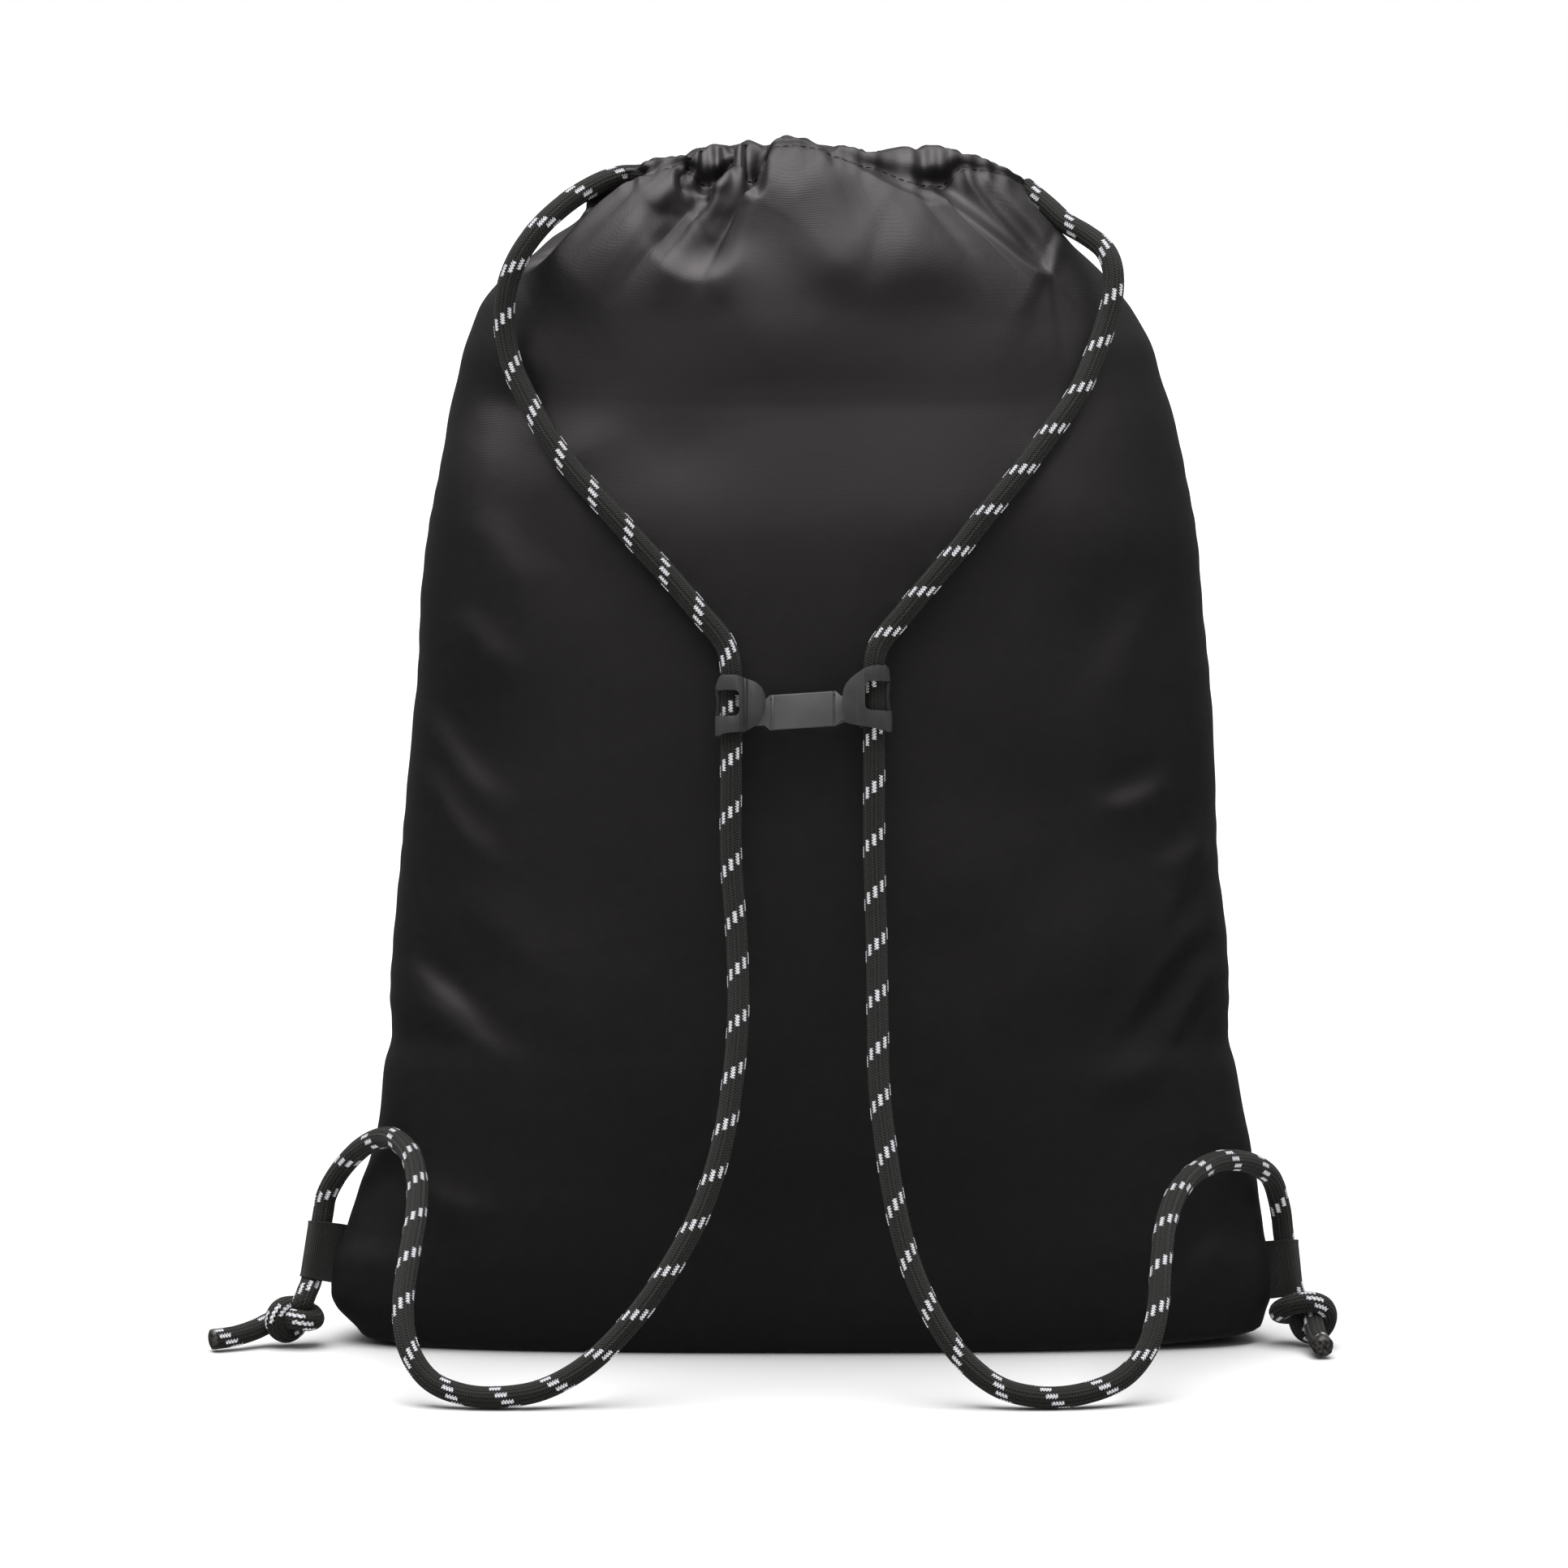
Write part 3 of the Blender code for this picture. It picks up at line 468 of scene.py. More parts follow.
# Folds of the strap side. Each is a crest over the front, as (x, z) points, with the cloth standing proud
# to the left of the way it runs: (crest, height, reach of the proud side, depth of the hollow on the
# other side, width of the drop, reach of the hollow, share that fades in, share that fades out)
TOP_FOLDS = (
    # left shoulder: the body stands in front of the cloth that goes back to the seam
    (((-0.05, 0.449), (-0.0594, 0.4432), (-0.0679, 0.4368), (-0.0764, 0.4288), (-0.0867, 0.4187), (-0.094,
     0.4119), (-0.105, 0.406)), 0.0054, 0.034, 0.0095, 0.0018, 0.016, 0.2, 0.25),
    # dark pocket left of the pleats
    (((-0.0453, 0.435), (-0.0475, 0.4407), (-0.0482, 0.449)), 0.0008, 0.006, 0.007, 0.0018, 0.006, 0.35,
     0.25),
    # shallow dip between the shoulder and the scoop
    (((-0.062, 0.4345), (-0.0496, 0.4305), (-0.043, 0.432)), -0.0028, 0.006, 0.0, 0.006, 0.006, 0.4, 0.4),
    # right wall of the pocket, and the small lip inside it
    (((-0.0232, 0.453), (-0.0275, 0.4449), (-0.0318, 0.4364), (-0.0362, 0.427)), 0.002, 0.012, 0.0075,
     0.0024, 0.0075, 0.2, 0.35),
    (((-0.04, 0.4376), (-0.0344, 0.4388), (-0.029, 0.444)), 0.0032, 0.0016, 0.0, 0.002, 0.002, 0.3, 0.4),
    # scoop: its bright lower lip, from right to left
    (((-0.0196, 0.424), (-0.0216, 0.4154), (-0.0275, 0.4078), (-0.0352, 0.4048), (-0.0445, 0.4058),
     (-0.0529, 0.4112), (-0.0597, 0.4197), (-0.062, 0.43)), 0.0022, 0.011, 0.0062, 0.0085, 0.015, 0.3,
     0.3),
    # second pit, inside its U-shaped rim
    (((-0.0122, 0.456), (-0.0118, 0.4457), (-0.0131, 0.439), (-0.0165, 0.4358), (-0.0199, 0.4381),
     (-0.0224, 0.4432), (-0.0241, 0.451)), 0.0012, 0.008, 0.0085, 0.003, 0.0045, 0.15, 0.15),
    # soft crest that runs down to the right from the peak
    (((-0.007, 0.454), (-0.0029, 0.4376), (0.0036, 0.4247), (0.0119, 0.4155), (0.0221, 0.4081), (0.029,
     0.409)), 0.0018, 0.022, 0.0012, 0.012, 0.02, 0.3, 0.3),
    # first long diagonal, right to left and up
    (((0.0575, 0.4322), (0.049, 0.4318), (0.0397, 0.4357), (0.0314, 0.4403), (0.0221, 0.4458), (0.0129,
     0.4513), (0.005, 0.4552)), 0.0016, 0.018, 0.0022, 0.0026, 0.0085, 0.25, 0.1),
    # second long diagonal, with the deep valley above it
    (((0.096, 0.4085), (0.0924, 0.4063), (0.084, 0.4109), (0.0748, 0.4183), (0.0655, 0.4257), (0.0544,
     0.4339), (0.0442, 0.4395), (0.035, 0.4441), (0.0257, 0.4482)), 0.003, 0.028, 0.004, 0.0032, 0.014,
     0.12, 0.35),
    # third diagonal: the cloth that goes back to the right seam
    (((0.06, 0.449), (0.0657, 0.4466), (0.075, 0.4401), (0.0843, 0.4309), (0.0908, 0.4235), (0.0946,
     0.4152), (0.097, 0.408)), 0.0018, 0.014, 0.0016, 0.004, 0.011, 0.25, 0.3),
    (((0.1036, 0.416), (0.0961, 0.4249), (0.0886, 0.4352), (0.0829, 0.4426)), 0.0012, 0.008, 0.0018,
     0.002, 0.006, 0.25, 0.25),
    # pit in the casing on the right
    (((0.0436, 0.456), (0.0473, 0.4511), (0.0501, 0.4474), (0.051, 0.4405)), -0.0016, 0.0034, 0.0, 0.0028,
     0.003, 0.2, 0.25),
)
BODY_FOLDS = (
    # soft ridges beside the left cord, and the hollow below them
    (((-0.093, 0.34), (-0.102, 0.347), (-0.114, 0.351), (-0.13, 0.352)), 0.0009, 0.018, 0.002, 0.011,
     0.02, 0.4, 0.35),
    (((-0.06, 0.348), (-0.078, 0.344), (-0.092, 0.333), (-0.103, 0.316)), 0.0008, 0.016, 0.0014, 0.011,
     0.018, 0.4, 0.4),
    (((-0.098, 0.286), (-0.108, 0.296), (-0.12, 0.31), (-0.133, 0.32)), 0.0008, 0.016, 0.0014, 0.011,
     0.018, 0.4, 0.4),
    # from the left seam inwards, one below another
    (((-0.102, 0.256), (-0.118, 0.267), (-0.133, 0.285)), 0.0011, 0.013, 0.0012, 0.0085, 0.014, 0.45,
     0.35),
    (((-0.106, 0.204), (-0.123, 0.215), (-0.138, 0.233), (-0.148, 0.25)), 0.0012, 0.014, 0.0014, 0.0075,
     0.014, 0.45, 0.3),
    (((-0.108, 0.182), (-0.126, 0.196), (-0.14, 0.215), (-0.15, 0.229)), 0.001, 0.012, 0.0013, 0.007,
     0.012, 0.45, 0.3),
    (((-0.098, 0.111), (-0.116, 0.116), (-0.135, 0.128), (-0.154, 0.143)), 0.0009, 0.014, 0.0018, 0.0075,
     0.016, 0.45, 0.3),
    (((-0.118, 0.122), (-0.137, 0.137), (-0.155, 0.15)), 0.0009, 0.01, 0.0013, 0.0055, 0.01, 0.45, 0.3),
    (((-0.08, 0.142), (-0.1, 0.15), (-0.12, 0.166), (-0.136, 0.186)), 0.001, 0.02, 0.0012, 0.013, 0.02,
     0.45, 0.45),
    (((-0.11, 0.052), (-0.131, 0.056), (-0.152, 0.064)), 0.0008, 0.014, 0.0012, 0.0085, 0.014, 0.45, 0.4),
    # broad, faint ones across the middle
    (((0.01, 0.17), (0.045, 0.18), (0.085, 0.202), (0.12, 0.236)), 0.0008, 0.034, 0.001, 0.022, 0.034,
     0.45, 0.45),
    (((-0.09, 0.07), (-0.03, 0.082), (0.05, 0.08), (0.1, 0.062)), 0.0008, 0.03, 0.0008, 0.02, 0.03, 0.45,
     0.45),
    (((0.078, 0.352), (0.096, 0.33), (0.106, 0.302), (0.108, 0.27)), 0.0012, 0.024, 0.0012, 0.016, 0.026,
     0.45, 0.45),
    (((0.142, 0.294), (0.128, 0.278), (0.12, 0.256), (0.121, 0.233)), 0.0012, 0.016, 0.0012, 0.011, 0.018,
     0.45, 0.45),
    # crescent hollow and the pinched seam on the right
    (((0.144, 0.223), (0.131, 0.212), (0.116, 0.209), (0.104, 0.216)), 0.0013, 0.013, 0.002, 0.007, 0.014,
     0.4, 0.4),
    (((0.159, 0.196), (0.146, 0.188), (0.13, 0.183)), 0.001, 0.012, 0.0013, 0.007, 0.012, 0.35, 0.45),
    (((0.113, 0.118), (0.127, 0.137), (0.14, 0.155), (0.157, 0.17)), 0.0016, 0.014, 0.002, 0.006, 0.015,
     0.45, 0.25),
    (((0.129, 0.16), (0.139, 0.172), (0.148, 0.19), (0.153, 0.208)), 0.0011, 0.01, 0.0014, 0.006, 0.012,
     0.45, 0.35),
    (((0.138, 0.114), (0.145, 0.131), (0.16, 0.152)), 0.0012, 0.01, 0.0019, 0.005, 0.009, 0.45, 0.25),
    (((0.1, 0.1), (0.122, 0.108), (0.144, 0.118)), 0.0009, 0.016, 0.0011, 0.011, 0.016, 0.45, 0.4),
    # low on the right
    (((0.166, 0.046), (0.154, 0.033), (0.148, 0.016)), 0.0009, 0.012, 0.0012, 0.008, 0.012, 0.4, 0.4),
    (((0.1, 0.048), (0.125, 0.043), (0.15, 0.052)), 0.0007, 0.018, 0.0009, 0.013, 0.018, 0.45, 0.45),
)
# pleats of the gathered casing: where the stitch line and the rim are pinched, as x positions and depths
CASING_PLEATS = (
    (-0.062, 0.002, 0.0012), (-0.0415, 0.0024, 0.0026), (-0.0368, 0.0018, 0.003),
    (-0.0318, 0.0017, 0.0032), (-0.0262, 0.0018, 0.003), (-0.0196, 0.002, 0.0034),
    (-0.0142, 0.0018, 0.0022), (0.0118, 0.0024, 0.0024), (0.0345, 0.003, 0.0016),
    (0.0465, 0.0026, 0.0014), (0.061, 0.0024, 0.0009), (0.0725, 0.0022, 0.0008),
)


def bag_columns(count):
    """Turns across the bag, from the left seam to the right one."""
    return np.linspace(-math.pi / 2, math.pi / 2, count)


def across_share(turns):
    return np.sign(np.sin(turns)) * np.abs(np.sin(turns)) ** (2 / ROUNDNESS)


def depth_share(turns):
    return np.clip(np.cos(turns), 0, 1) ** (2 / ROUNDNESS)


def body_rows(turns, heights, side):
    """Points of the stuffed body, one row for each height."""
    share, deep = across_share(turns)[None, :], depth_share(turns)[None, :]
    left = smooth_curve(LEFT_EDGE, heights)[:, None]
    right = smooth_curve(RIGHT_EDGE, heights)[:, None]
    depths = smooth_curve(STRAP_DEPTH if side == STRAP_SIDE else FAR_DEPTH, heights)[:, None]
    seam = smooth_curve(SEAM_Y, heights)[:, None]
    x = share * np.where(share > 0, right, left)
    y = seam + side * depths * deep
    z = np.repeat(heights[:, None], len(turns), axis=1)
    return np.stack([x, y, z], axis=2)


SINE_SHARE, EVEN_SHARE = 0.72, 0.28  # how far the mouth's columns crowd towards the seams
MOUTH_ROUNDNESS = 0.8
SHOULDER_PULL = 0.34
STITCH_PULL = 0.26


def mouth_line(turns, line, depth, side):
    """A line round half the mouth, spread evenly from the left seam to the right one."""
    share = np.sin(turns) * SINE_SHARE + (turns / (math.pi / 2)) * EVEN_SHARE
    low, high = line[0][0], line[-1][0]
    x = (low + high) / 2 + share * (high - low) / 2
    z = smooth_curve(line, x)
    y = side * depth * np.clip(np.cos(turns), 0, 1) ** MOUTH_ROUNDNESS
    return np.stack([x, y, z], axis=1)


def shoulder_rows(body_edge, body_slope, stitch, inward, shares):
    """The cloth between the body's top row and the stitch line, as one smooth bend."""
    t = shares[:, None, None]
    span = np.linalg.norm(stitch - body_edge, axis=1)[None, :, None]
    first = body_edge[None] + body_slope[None] * span * SHOULDER_PULL
    second = stitch[None] - inward[None] * span * STITCH_PULL
    return (
        body_edge[None] * (1 - t) ** 3
        + first * 3 * t * (1 - t) ** 2
        + second * 3 * t**2 * (1 - t)
        + stitch[None] * t**3
    )


def grid_normals(points, side):
    """Outward normals of a grid of points."""
    upward = np.gradient(points, axis=0)
    across = np.gradient(points, axis=1)
    normals = np.cross(across, upward) * -side
    normals /= np.linalg.norm(normals, axis=2, keepdims=True) + 1e-12
    return normals


CREST_BLEND = 0.0012  # over this distance, two stretches of a crest share a point
FOLD_REACH = 3.2
BROAD_UNEVENNESS = (9.0, 0.0012)  # scale and height
SMALL_UNEVENNESS = (26.0, 0.0005)


def crest_position(route, px, pz):
    """Signed distance from a crest, and how far along it, blended where two stretches are equally near."""
    steps = np.diff(route, axis=0)
    ox, oz = px[None] - route[:-1, 0, None], pz[None] - route[:-1, 1, None]
    sx, sz = steps[:, 0, None], steps[:, 1, None]
    t = np.clip((ox * sx + oz * sz) / (sx**2 + sz**2), 0, 1)
    dx, dz = ox - t * sx, oz - t * sz
    distance = np.hypot(dx, dz)
    sides = np.sign(sx * dz - sz * dx)
    weight = np.exp(-(distance - distance.min(axis=0)) / CREST_BLEND)
    weight /= weight.sum(axis=0)
    count = len(steps)
    share = (weight * (np.arange(count)[:, None] + t) / count).sum(axis=0)
    return distance.min(axis=0) * (weight * sides).sum(axis=0), share


def fold_height(x, z, folds):
    """Height of all the folds at points given by x and z."""
    total = np.zeros_like(x)
    for crest, proud, proud_reach, hollow, drop, hollow_reach, fade_in, fade_out in folds:
        route = smooth_path([(px, 0, pz) for px, pz in crest], 0.0025)[:, (0, 2)]
        reach = FOLD_REACH * max(proud_reach, hollow_reach, drop)
        low, high = route.min(axis=0) - reach, route.max(axis=0) + reach
        near = (x > low[0]) & (x < high[0]) & (z > low[1]) & (z < high[1])
        signed, share = crest_position(route, x[near], z[near])
        away = np.abs(signed)
        front = proud * np.exp(-((away / proud_reach) ** 1.3))
        fall = np.exp(-((away / drop) ** 2))
        behind = (proud + hollow) * fall - hollow * np.exp(-((away / hollow_reach) ** 2))
        height = np.where(signed > 0, front, behind)
        total[near] += height * ease(0, fade_in, share) * ease(0, fade_out, 1 - share)
    return total


def swell_height(x, z, swells):
    total = np.zeros_like(x)
    for at_x, at_z, reach_x, reach_z, height in swells:
        total += height * np.exp(-(((x - at_x) / reach_x) ** 2) - ((z - at_z) / reach_z) ** 2)
    return total


def mirrored_folds(folds, share):
    """The same folds seen from the other side, softer."""
    mirrored = []
    for crest, proud, proud_reach, hollow, drop, *rest in folds:
        turned = tuple((-px, pz) for px, pz in crest[::-1])
        mirrored.append((turned, proud * share, proud_reach, hollow * share, drop * 1.5, *rest))
    return mirrored


def noise_field(points, scale, seed):
    """Smooth noise from -1 to 1 at each point of a grid."""
    offset = Vector((seed * 7.3, seed * 3.1, seed * 5.7))
    flat = points.reshape(-1, 3) * scale
    values = [noise.noise(Vector(p) + offset) for p in flat]
    return np.array(values).reshape(points.shape[:2])


CASING_SWELL = 0.0046
CASING_BULGE = 0.0012
HEM = (0.0045, 0.022)  # how far the turned-in hem goes in, and down


def casing_rows(stitch, rim, side, count):
    """The sleeve over its cord, from the stitch line to the rim, then down inside the mouth."""
    rows = []
    for k in range(1, count + 1):
        t = k / count
        swell = math.sin(math.pi * t) ** 0.7
        row = stitch + (rim - stitch) * t
        row[:, 2] += CASING_SWELL * swell
        row[:, 2] = np.minimum(row[:, 2], rim[:, 2] + 0.0002 * (1 - t))
        row[:, 1] += side * CASING_BULGE * swell
        rows.append(row)
    for k in range(1, count // 2 + 1):
        t = k / (count // 2)
        rows.append(rim + np.array([0.0, side * HEM[0], -HEM[1]]) * t)
    return np.stack(rows)


def cloth_grid(side, columns, body_count, shoulder_count, casing_count):
    """Grid of points of one panel, from the ground to inside the mouth, and the row of its stitch line."""
    turns = bag_columns(columns)
    heights = np.linspace(0, 1, body_count) ** 1.12 * SHOULDER
    body = body_rows(turns, heights, side)
    stitch = mouth_line(turns, STITCH_LINE, STITCH_DEPTH, side)
    rim = mouth_line(turns, RIM_LINE, RIM_DEPTH, side)
    slope = body[-1] - body[-3]
    slope /= np.linalg.norm(slope, axis=1, keepdims=True)
    inward = rim - stitch
    inward[:, 0] *= 0.4
    inward[:, 2] += 0.004
    inward /= np.linalg.norm(inward, axis=1, keepdims=True)
    shares = np.linspace(0, 1, shoulder_count + 1)[1:]
    shoulder = shoulder_rows(body[-1], slope, stitch, inward, shares)
    points = np.concatenate([body, shoulder, casing_rows(stitch, rim, side, casing_count)])
    return points, body_count + shoulder_count - 1, turns


RUFFLE_PITCH = 0.0072
RUFFLE_DEPTH = 0.0004
SEAM_PULL = 0.0012
# Turns from a seam over which the folds fade out, the seam pulls in, and it puckers
FOLDS_FADE, PULL_WIDTH, PUCKER_WIDTH = 0.16, 0.035, 0.22
STITCH_SINK = 0.0008
PUCKER_PITCH = 0.0155
PUCKER_HEIGHT = 0.00018


def casing_pleat_depth(x):
    """How far the casing is pinched in at each x."""
    depth = np.zeros_like(x)
    for at, width, fold in CASING_PLEATS:
        depth += fold * np.exp(-(((x - at) / width) ** 2))
    return depth + RUFFLE_DEPTH * np.sin(x * 2 * math.pi / RUFFLE_PITCH)


def add_folds(points, side, stitch_row, turns):
    """Moves a panel's points out by its folds, its seams' puckers and its casing's pleats."""
    normals = grid_normals(points, side)
    x, z = points[:, :, 0], points[:, :, 2]
    rows = np.arange(points.shape[0])[:, None] - stitch_row
    outside = 1.0 - ease(0, 5, rows)
    if side == STRAP_SIDE:
        height = fold_height(x, z, TOP_FOLDS + BODY_FOLDS) + swell_height(x, z, SWELLS)
    else:
        height = fold_height(x, z, mirrored_folds(TOP_FOLDS, 0.8) + mirrored_folds(BODY_FOLDS, 0.9))
        height = height + swell_height(-x, z, SWELLS)
    broad = noise_field(points, BROAD_UNEVENNESS[0], 1 + side) * BROAD_UNEVENNESS[1]
    broad = broad + noise_field(points, SMALL_UNEVENNESS[0], 3 + side) * SMALL_UNEVENNESS[1]
    calm = ease(0.0, 0.03, z)
    edge = np.minimum(np.abs(turns - turns[0]), np.abs(turns - turns[-1]))[None, :]
    seam_share = 1.0 - np.exp(-((edge / FOLDS_FADE) ** 2))
    height = (height * seam_share + broad * calm) * outside
    # sewn side seams pull in and pucker
    pull = np.exp(-((edge / PULL_WIDTH) ** 2))
    near = np.exp(-((edge / PUCKER_WIDTH) ** 2))
    uneven = 2.6 * np.sin(z * 41) + 1.3 * np.sin(z * 97)
    ripple = np.sin(z * 2 * math.pi / PUCKER_PITCH + uneven) * PUCKER_HEIGHT
    height = height - SEAM_PULL * pull + ripple * near * calm
    # the stitch line sinks between casing and body, and the casing's pleats run on below it
    height = height - STITCH_SINK * np.exp(-((rows / 1.3) ** 2))
    pinch = casing_pleat_depth(x if side == STRAP_SIDE else -x)
    height = height - pinch * np.exp(-((np.minimum(rows, 0) / 9.0) ** 2)) * (1.0 - ease(8, 17, rows))
    toward = normals + np.array([0.0, side * FOLD_LEAN, 0.0]) * (1.0 - pull)[:, :, None]
    toward /= np.linalg.norm(toward, axis=2, keepdims=True)
    return points + toward * height[:, :, None]


def grid_object(name, points, flip, thickness):
    """A cloth object from a grid of points, with its layout in metres and a real thickness."""
    rows, columns = points.shape[:2]
    index = np.arange(rows * columns).reshape(rows, columns)
    quads = np.stack([index[:-1, :-1], index[:-1, 1:], index[1:, 1:], index[1:, :-1]], axis=2).reshape(-1, 4)
    if flip:
        quads = quads[:, ::-1]
    data = bpy.data.meshes.new(name)
    data.from_pydata(points.reshape(-1, 3).tolist(), [], quads.tolist())
    v = np.zeros((rows, columns))
    v[1:] = np.cumsum(np.linalg.norm(np.diff(points, axis=0), axis=2).mean(axis=1))[:, None]
    u = np.zeros((rows, columns))
    steps = np.linalg.norm(np.diff(points, axis=1), axis=2)
    u[:, 1:] = np.cumsum(steps[rows // 2])[None, :]
    layout = data.uv_layers.new(name="layout")
    flat_uv = np.stack([u, v], axis=2).reshape(-1, 2)
    loops = np.empty(len(data.loops), dtype=np.int32)
    data.loops.foreach_get("vertex_index", loops)
    layout.data.foreach_set("uv", flat_uv[loops].ravel())
    data.shade_smooth()
    data.update()
    piece = placed(name, data)
    solidify = piece.modifiers.new("thickness", "SOLIDIFY")
    solidify.thickness = thickness
    solidify.offset = -1
    return piece


CLOTH_THICKNESS = 0.0006
# Each panel's cut: the widest way round from seam to seam, and the longest way up with the hem turned in
STRAP_PANEL_FLAT = (0.384, 0.536)
FAR_PANEL_FLAT = (0.437, 0.544)


# Points across each panel, up its body, up its shoulder and up its casing
STRAP_PANEL_DETAIL = (301, 210, 60, 18)
FAR_PANEL_DETAIL = (221, 150, 44, 14)


def build_bag(cloth, thread, tape):
    """Both panels with their stitches, the bottom, and the side seams' tape."""
    sides = (
        (STRAP_SIDE, "strap_panel_cloth", STRAP_PANEL_DETAIL, STRAP_PANEL_FLAT),
        (FAR_SIDE, "far_panel_cloth", FAR_PANEL_DETAIL, FAR_PANEL_FLAT),
    )
    for side, name, counts, flat in sides:
        points, stitch_row, turns = cloth_grid(side, *counts)
        points = add_folds(points, side, stitch_row, turns)
        points[:, :, 2] = np.maximum(points[:, :, 2], LOWEST)
        piece = grid_object(name, points, side == FAR_SIDE, CLOTH_THICKNESS)
        piece.data.materials.append(cloth)
        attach(piece, "bag")
        if side == STRAP_SIDE:
            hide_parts("back_panel", "back_casing")
        else:
            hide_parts("front_panel", "front_casing")
        stitches = build_stitches(name.replace("cloth", "stitches"), points, stitch_row, side, thread)
        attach(stitches, "bag")
    base = build_base(cloth)
    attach(base, "bag")
    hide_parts("base_panel")
    for node in ("left_seam_binding", "right_seam_binding"):
        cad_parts[node].data.materials.clear()
        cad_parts[node].data.materials.append(tape)


STITCH_PITCH = 0.0034
STITCH_STARTS = 0.0004
STITCH_ENDS = 0.0028
THREAD_RADIUS = 0.00028
BASE_HEIGHT = 0.0009


def build_stitches(name, points, stitch_row, side, thread):
    """Lockstitches along the casing's lower edge: short threads, 3.4 mm apart."""
    row = points[stitch_row]
    travelled = distance_along(row)
    normals = grid_normals(points, side)[stitch_row]
    data = bpy.data.meshes.new(name)
    work = bmesh.new()
    for k in range(int(travelled[-1] / STITCH_PITCH)):
        start, end = k * STITCH_PITCH + STITCH_STARTS, k * STITCH_PITCH + STITCH_ENDS
        a = Vector([np.interp(start, travelled, row[:, i]) for i in range(3)])
        b = Vector([np.interp(end, travelled, row[:, i]) for i in range(3)])
        up = Vector([np.interp(start, travelled, normals[:, i]) for i in range(3)])
        place = (a + b) / 2 + up * 0.0001
        turn = (b - a).to_track_quat("Z", "Y").to_matrix().to_4x4()
        scale = Matrix.Diagonal((THREAD_RADIUS, THREAD_RADIUS, (b - a).length / 2, 1))
        bmesh.ops.create_uvsphere(
            work, u_segments=8, v_segments=6, radius=1.0, matrix=Matrix.Translation(place) @ turn @ scale
        )
    work.to_mesh(data)
    work.free()
    data.shade_smooth()
    piece = placed(name, data)
    data.materials.append(thread)
    return piece


def build_base(cloth):
    """The bottom of the bag: it joins both panels at the ground."""
    turns = bag_columns(121)
    rings = []
    for share in np.linspace(0.02, 1.0, 16):
        ring = []
        for side in (STRAP_SIDE, FAR_SIDE):
            row = body_rows(turns, np.array([0.0]), side)[0]
            middle = np.array([0.0, smooth_curve(SEAM_Y, 0.0), 0.0])
            row = middle + (row - middle) * share * 0.996
            ring.append(row if side == STRAP_SIDE else row[::-1])
        rings.append(np.concatenate(ring))
    points = np.stack(rings)
    points[:, :, 2] = BASE_HEIGHT
    piece = grid_object("base_panel_cloth", points, True, CLOTH_THICKNESS)
    piece.data.materials.append(cloth)
    return piece


# ---------------------------------------------------------------- cords

LEFT_ROUTE = (
    (-0.065, -0.0085, 0.4445), (-0.0709, -0.0115, 0.4436), (-0.0784, -0.018, 0.4407),
    (-0.0876, -0.025, 0.435), (-0.0978, -0.032, 0.4259), (-0.106, -0.0355, 0.4145),
    (-0.1105, -0.0367, 0.4021), (-0.1112, -0.0377, 0.389), (-0.1085, -0.0405, 0.375),
    (-0.103, -0.0455, 0.363), (-0.0955, -0.0517, 0.35), (-0.085, -0.0577, 0.336),
    (-0.0725, -0.0635, 0.3225), (-0.06, -0.067, 0.309), (-0.0475, -0.0695, 0.2955),
    (-0.038, -0.0724, 0.2845), (-0.0294, -0.0742, 0.2742), (-0.0264, -0.076, 0.265),
    (-0.0262, -0.0785, 0.25), (-0.0262, -0.0828, 0.225), (-0.0262, -0.0878, 0.195),
    (-0.024, -0.095, 0.164), (-0.0235, -0.104, 0.138), (-0.0257, -0.113, 0.113), (-0.03, -0.1215, 0.09),
    (-0.0375, -0.129, 0.0685), (-0.0485, -0.136, 0.049), (-0.062, -0.1415, 0.031),
    (-0.077, -0.146, 0.0165), (-0.093, -0.149, 0.0075), (-0.108, -0.15, 0.0045), (-0.123, -0.149, 0.005),
    (-0.136, -0.1455, 0.01), (-0.144, -0.1395, 0.021), (-0.1462, -0.13, 0.035), (-0.1448, -0.117, 0.049),
    (-0.143, -0.1, 0.062), (-0.1435, -0.082, 0.073), (-0.1475, -0.064, 0.0805), (-0.156, -0.0455, 0.083),
    (-0.1662, -0.0325, 0.0775), (-0.1755, -0.0225, 0.067), (-0.1812, -0.0192, 0.057),
    (-0.183, -0.02, 0.048), (-0.1862, -0.024, 0.0265), (-0.1871, -0.0252, 0.0216),
)
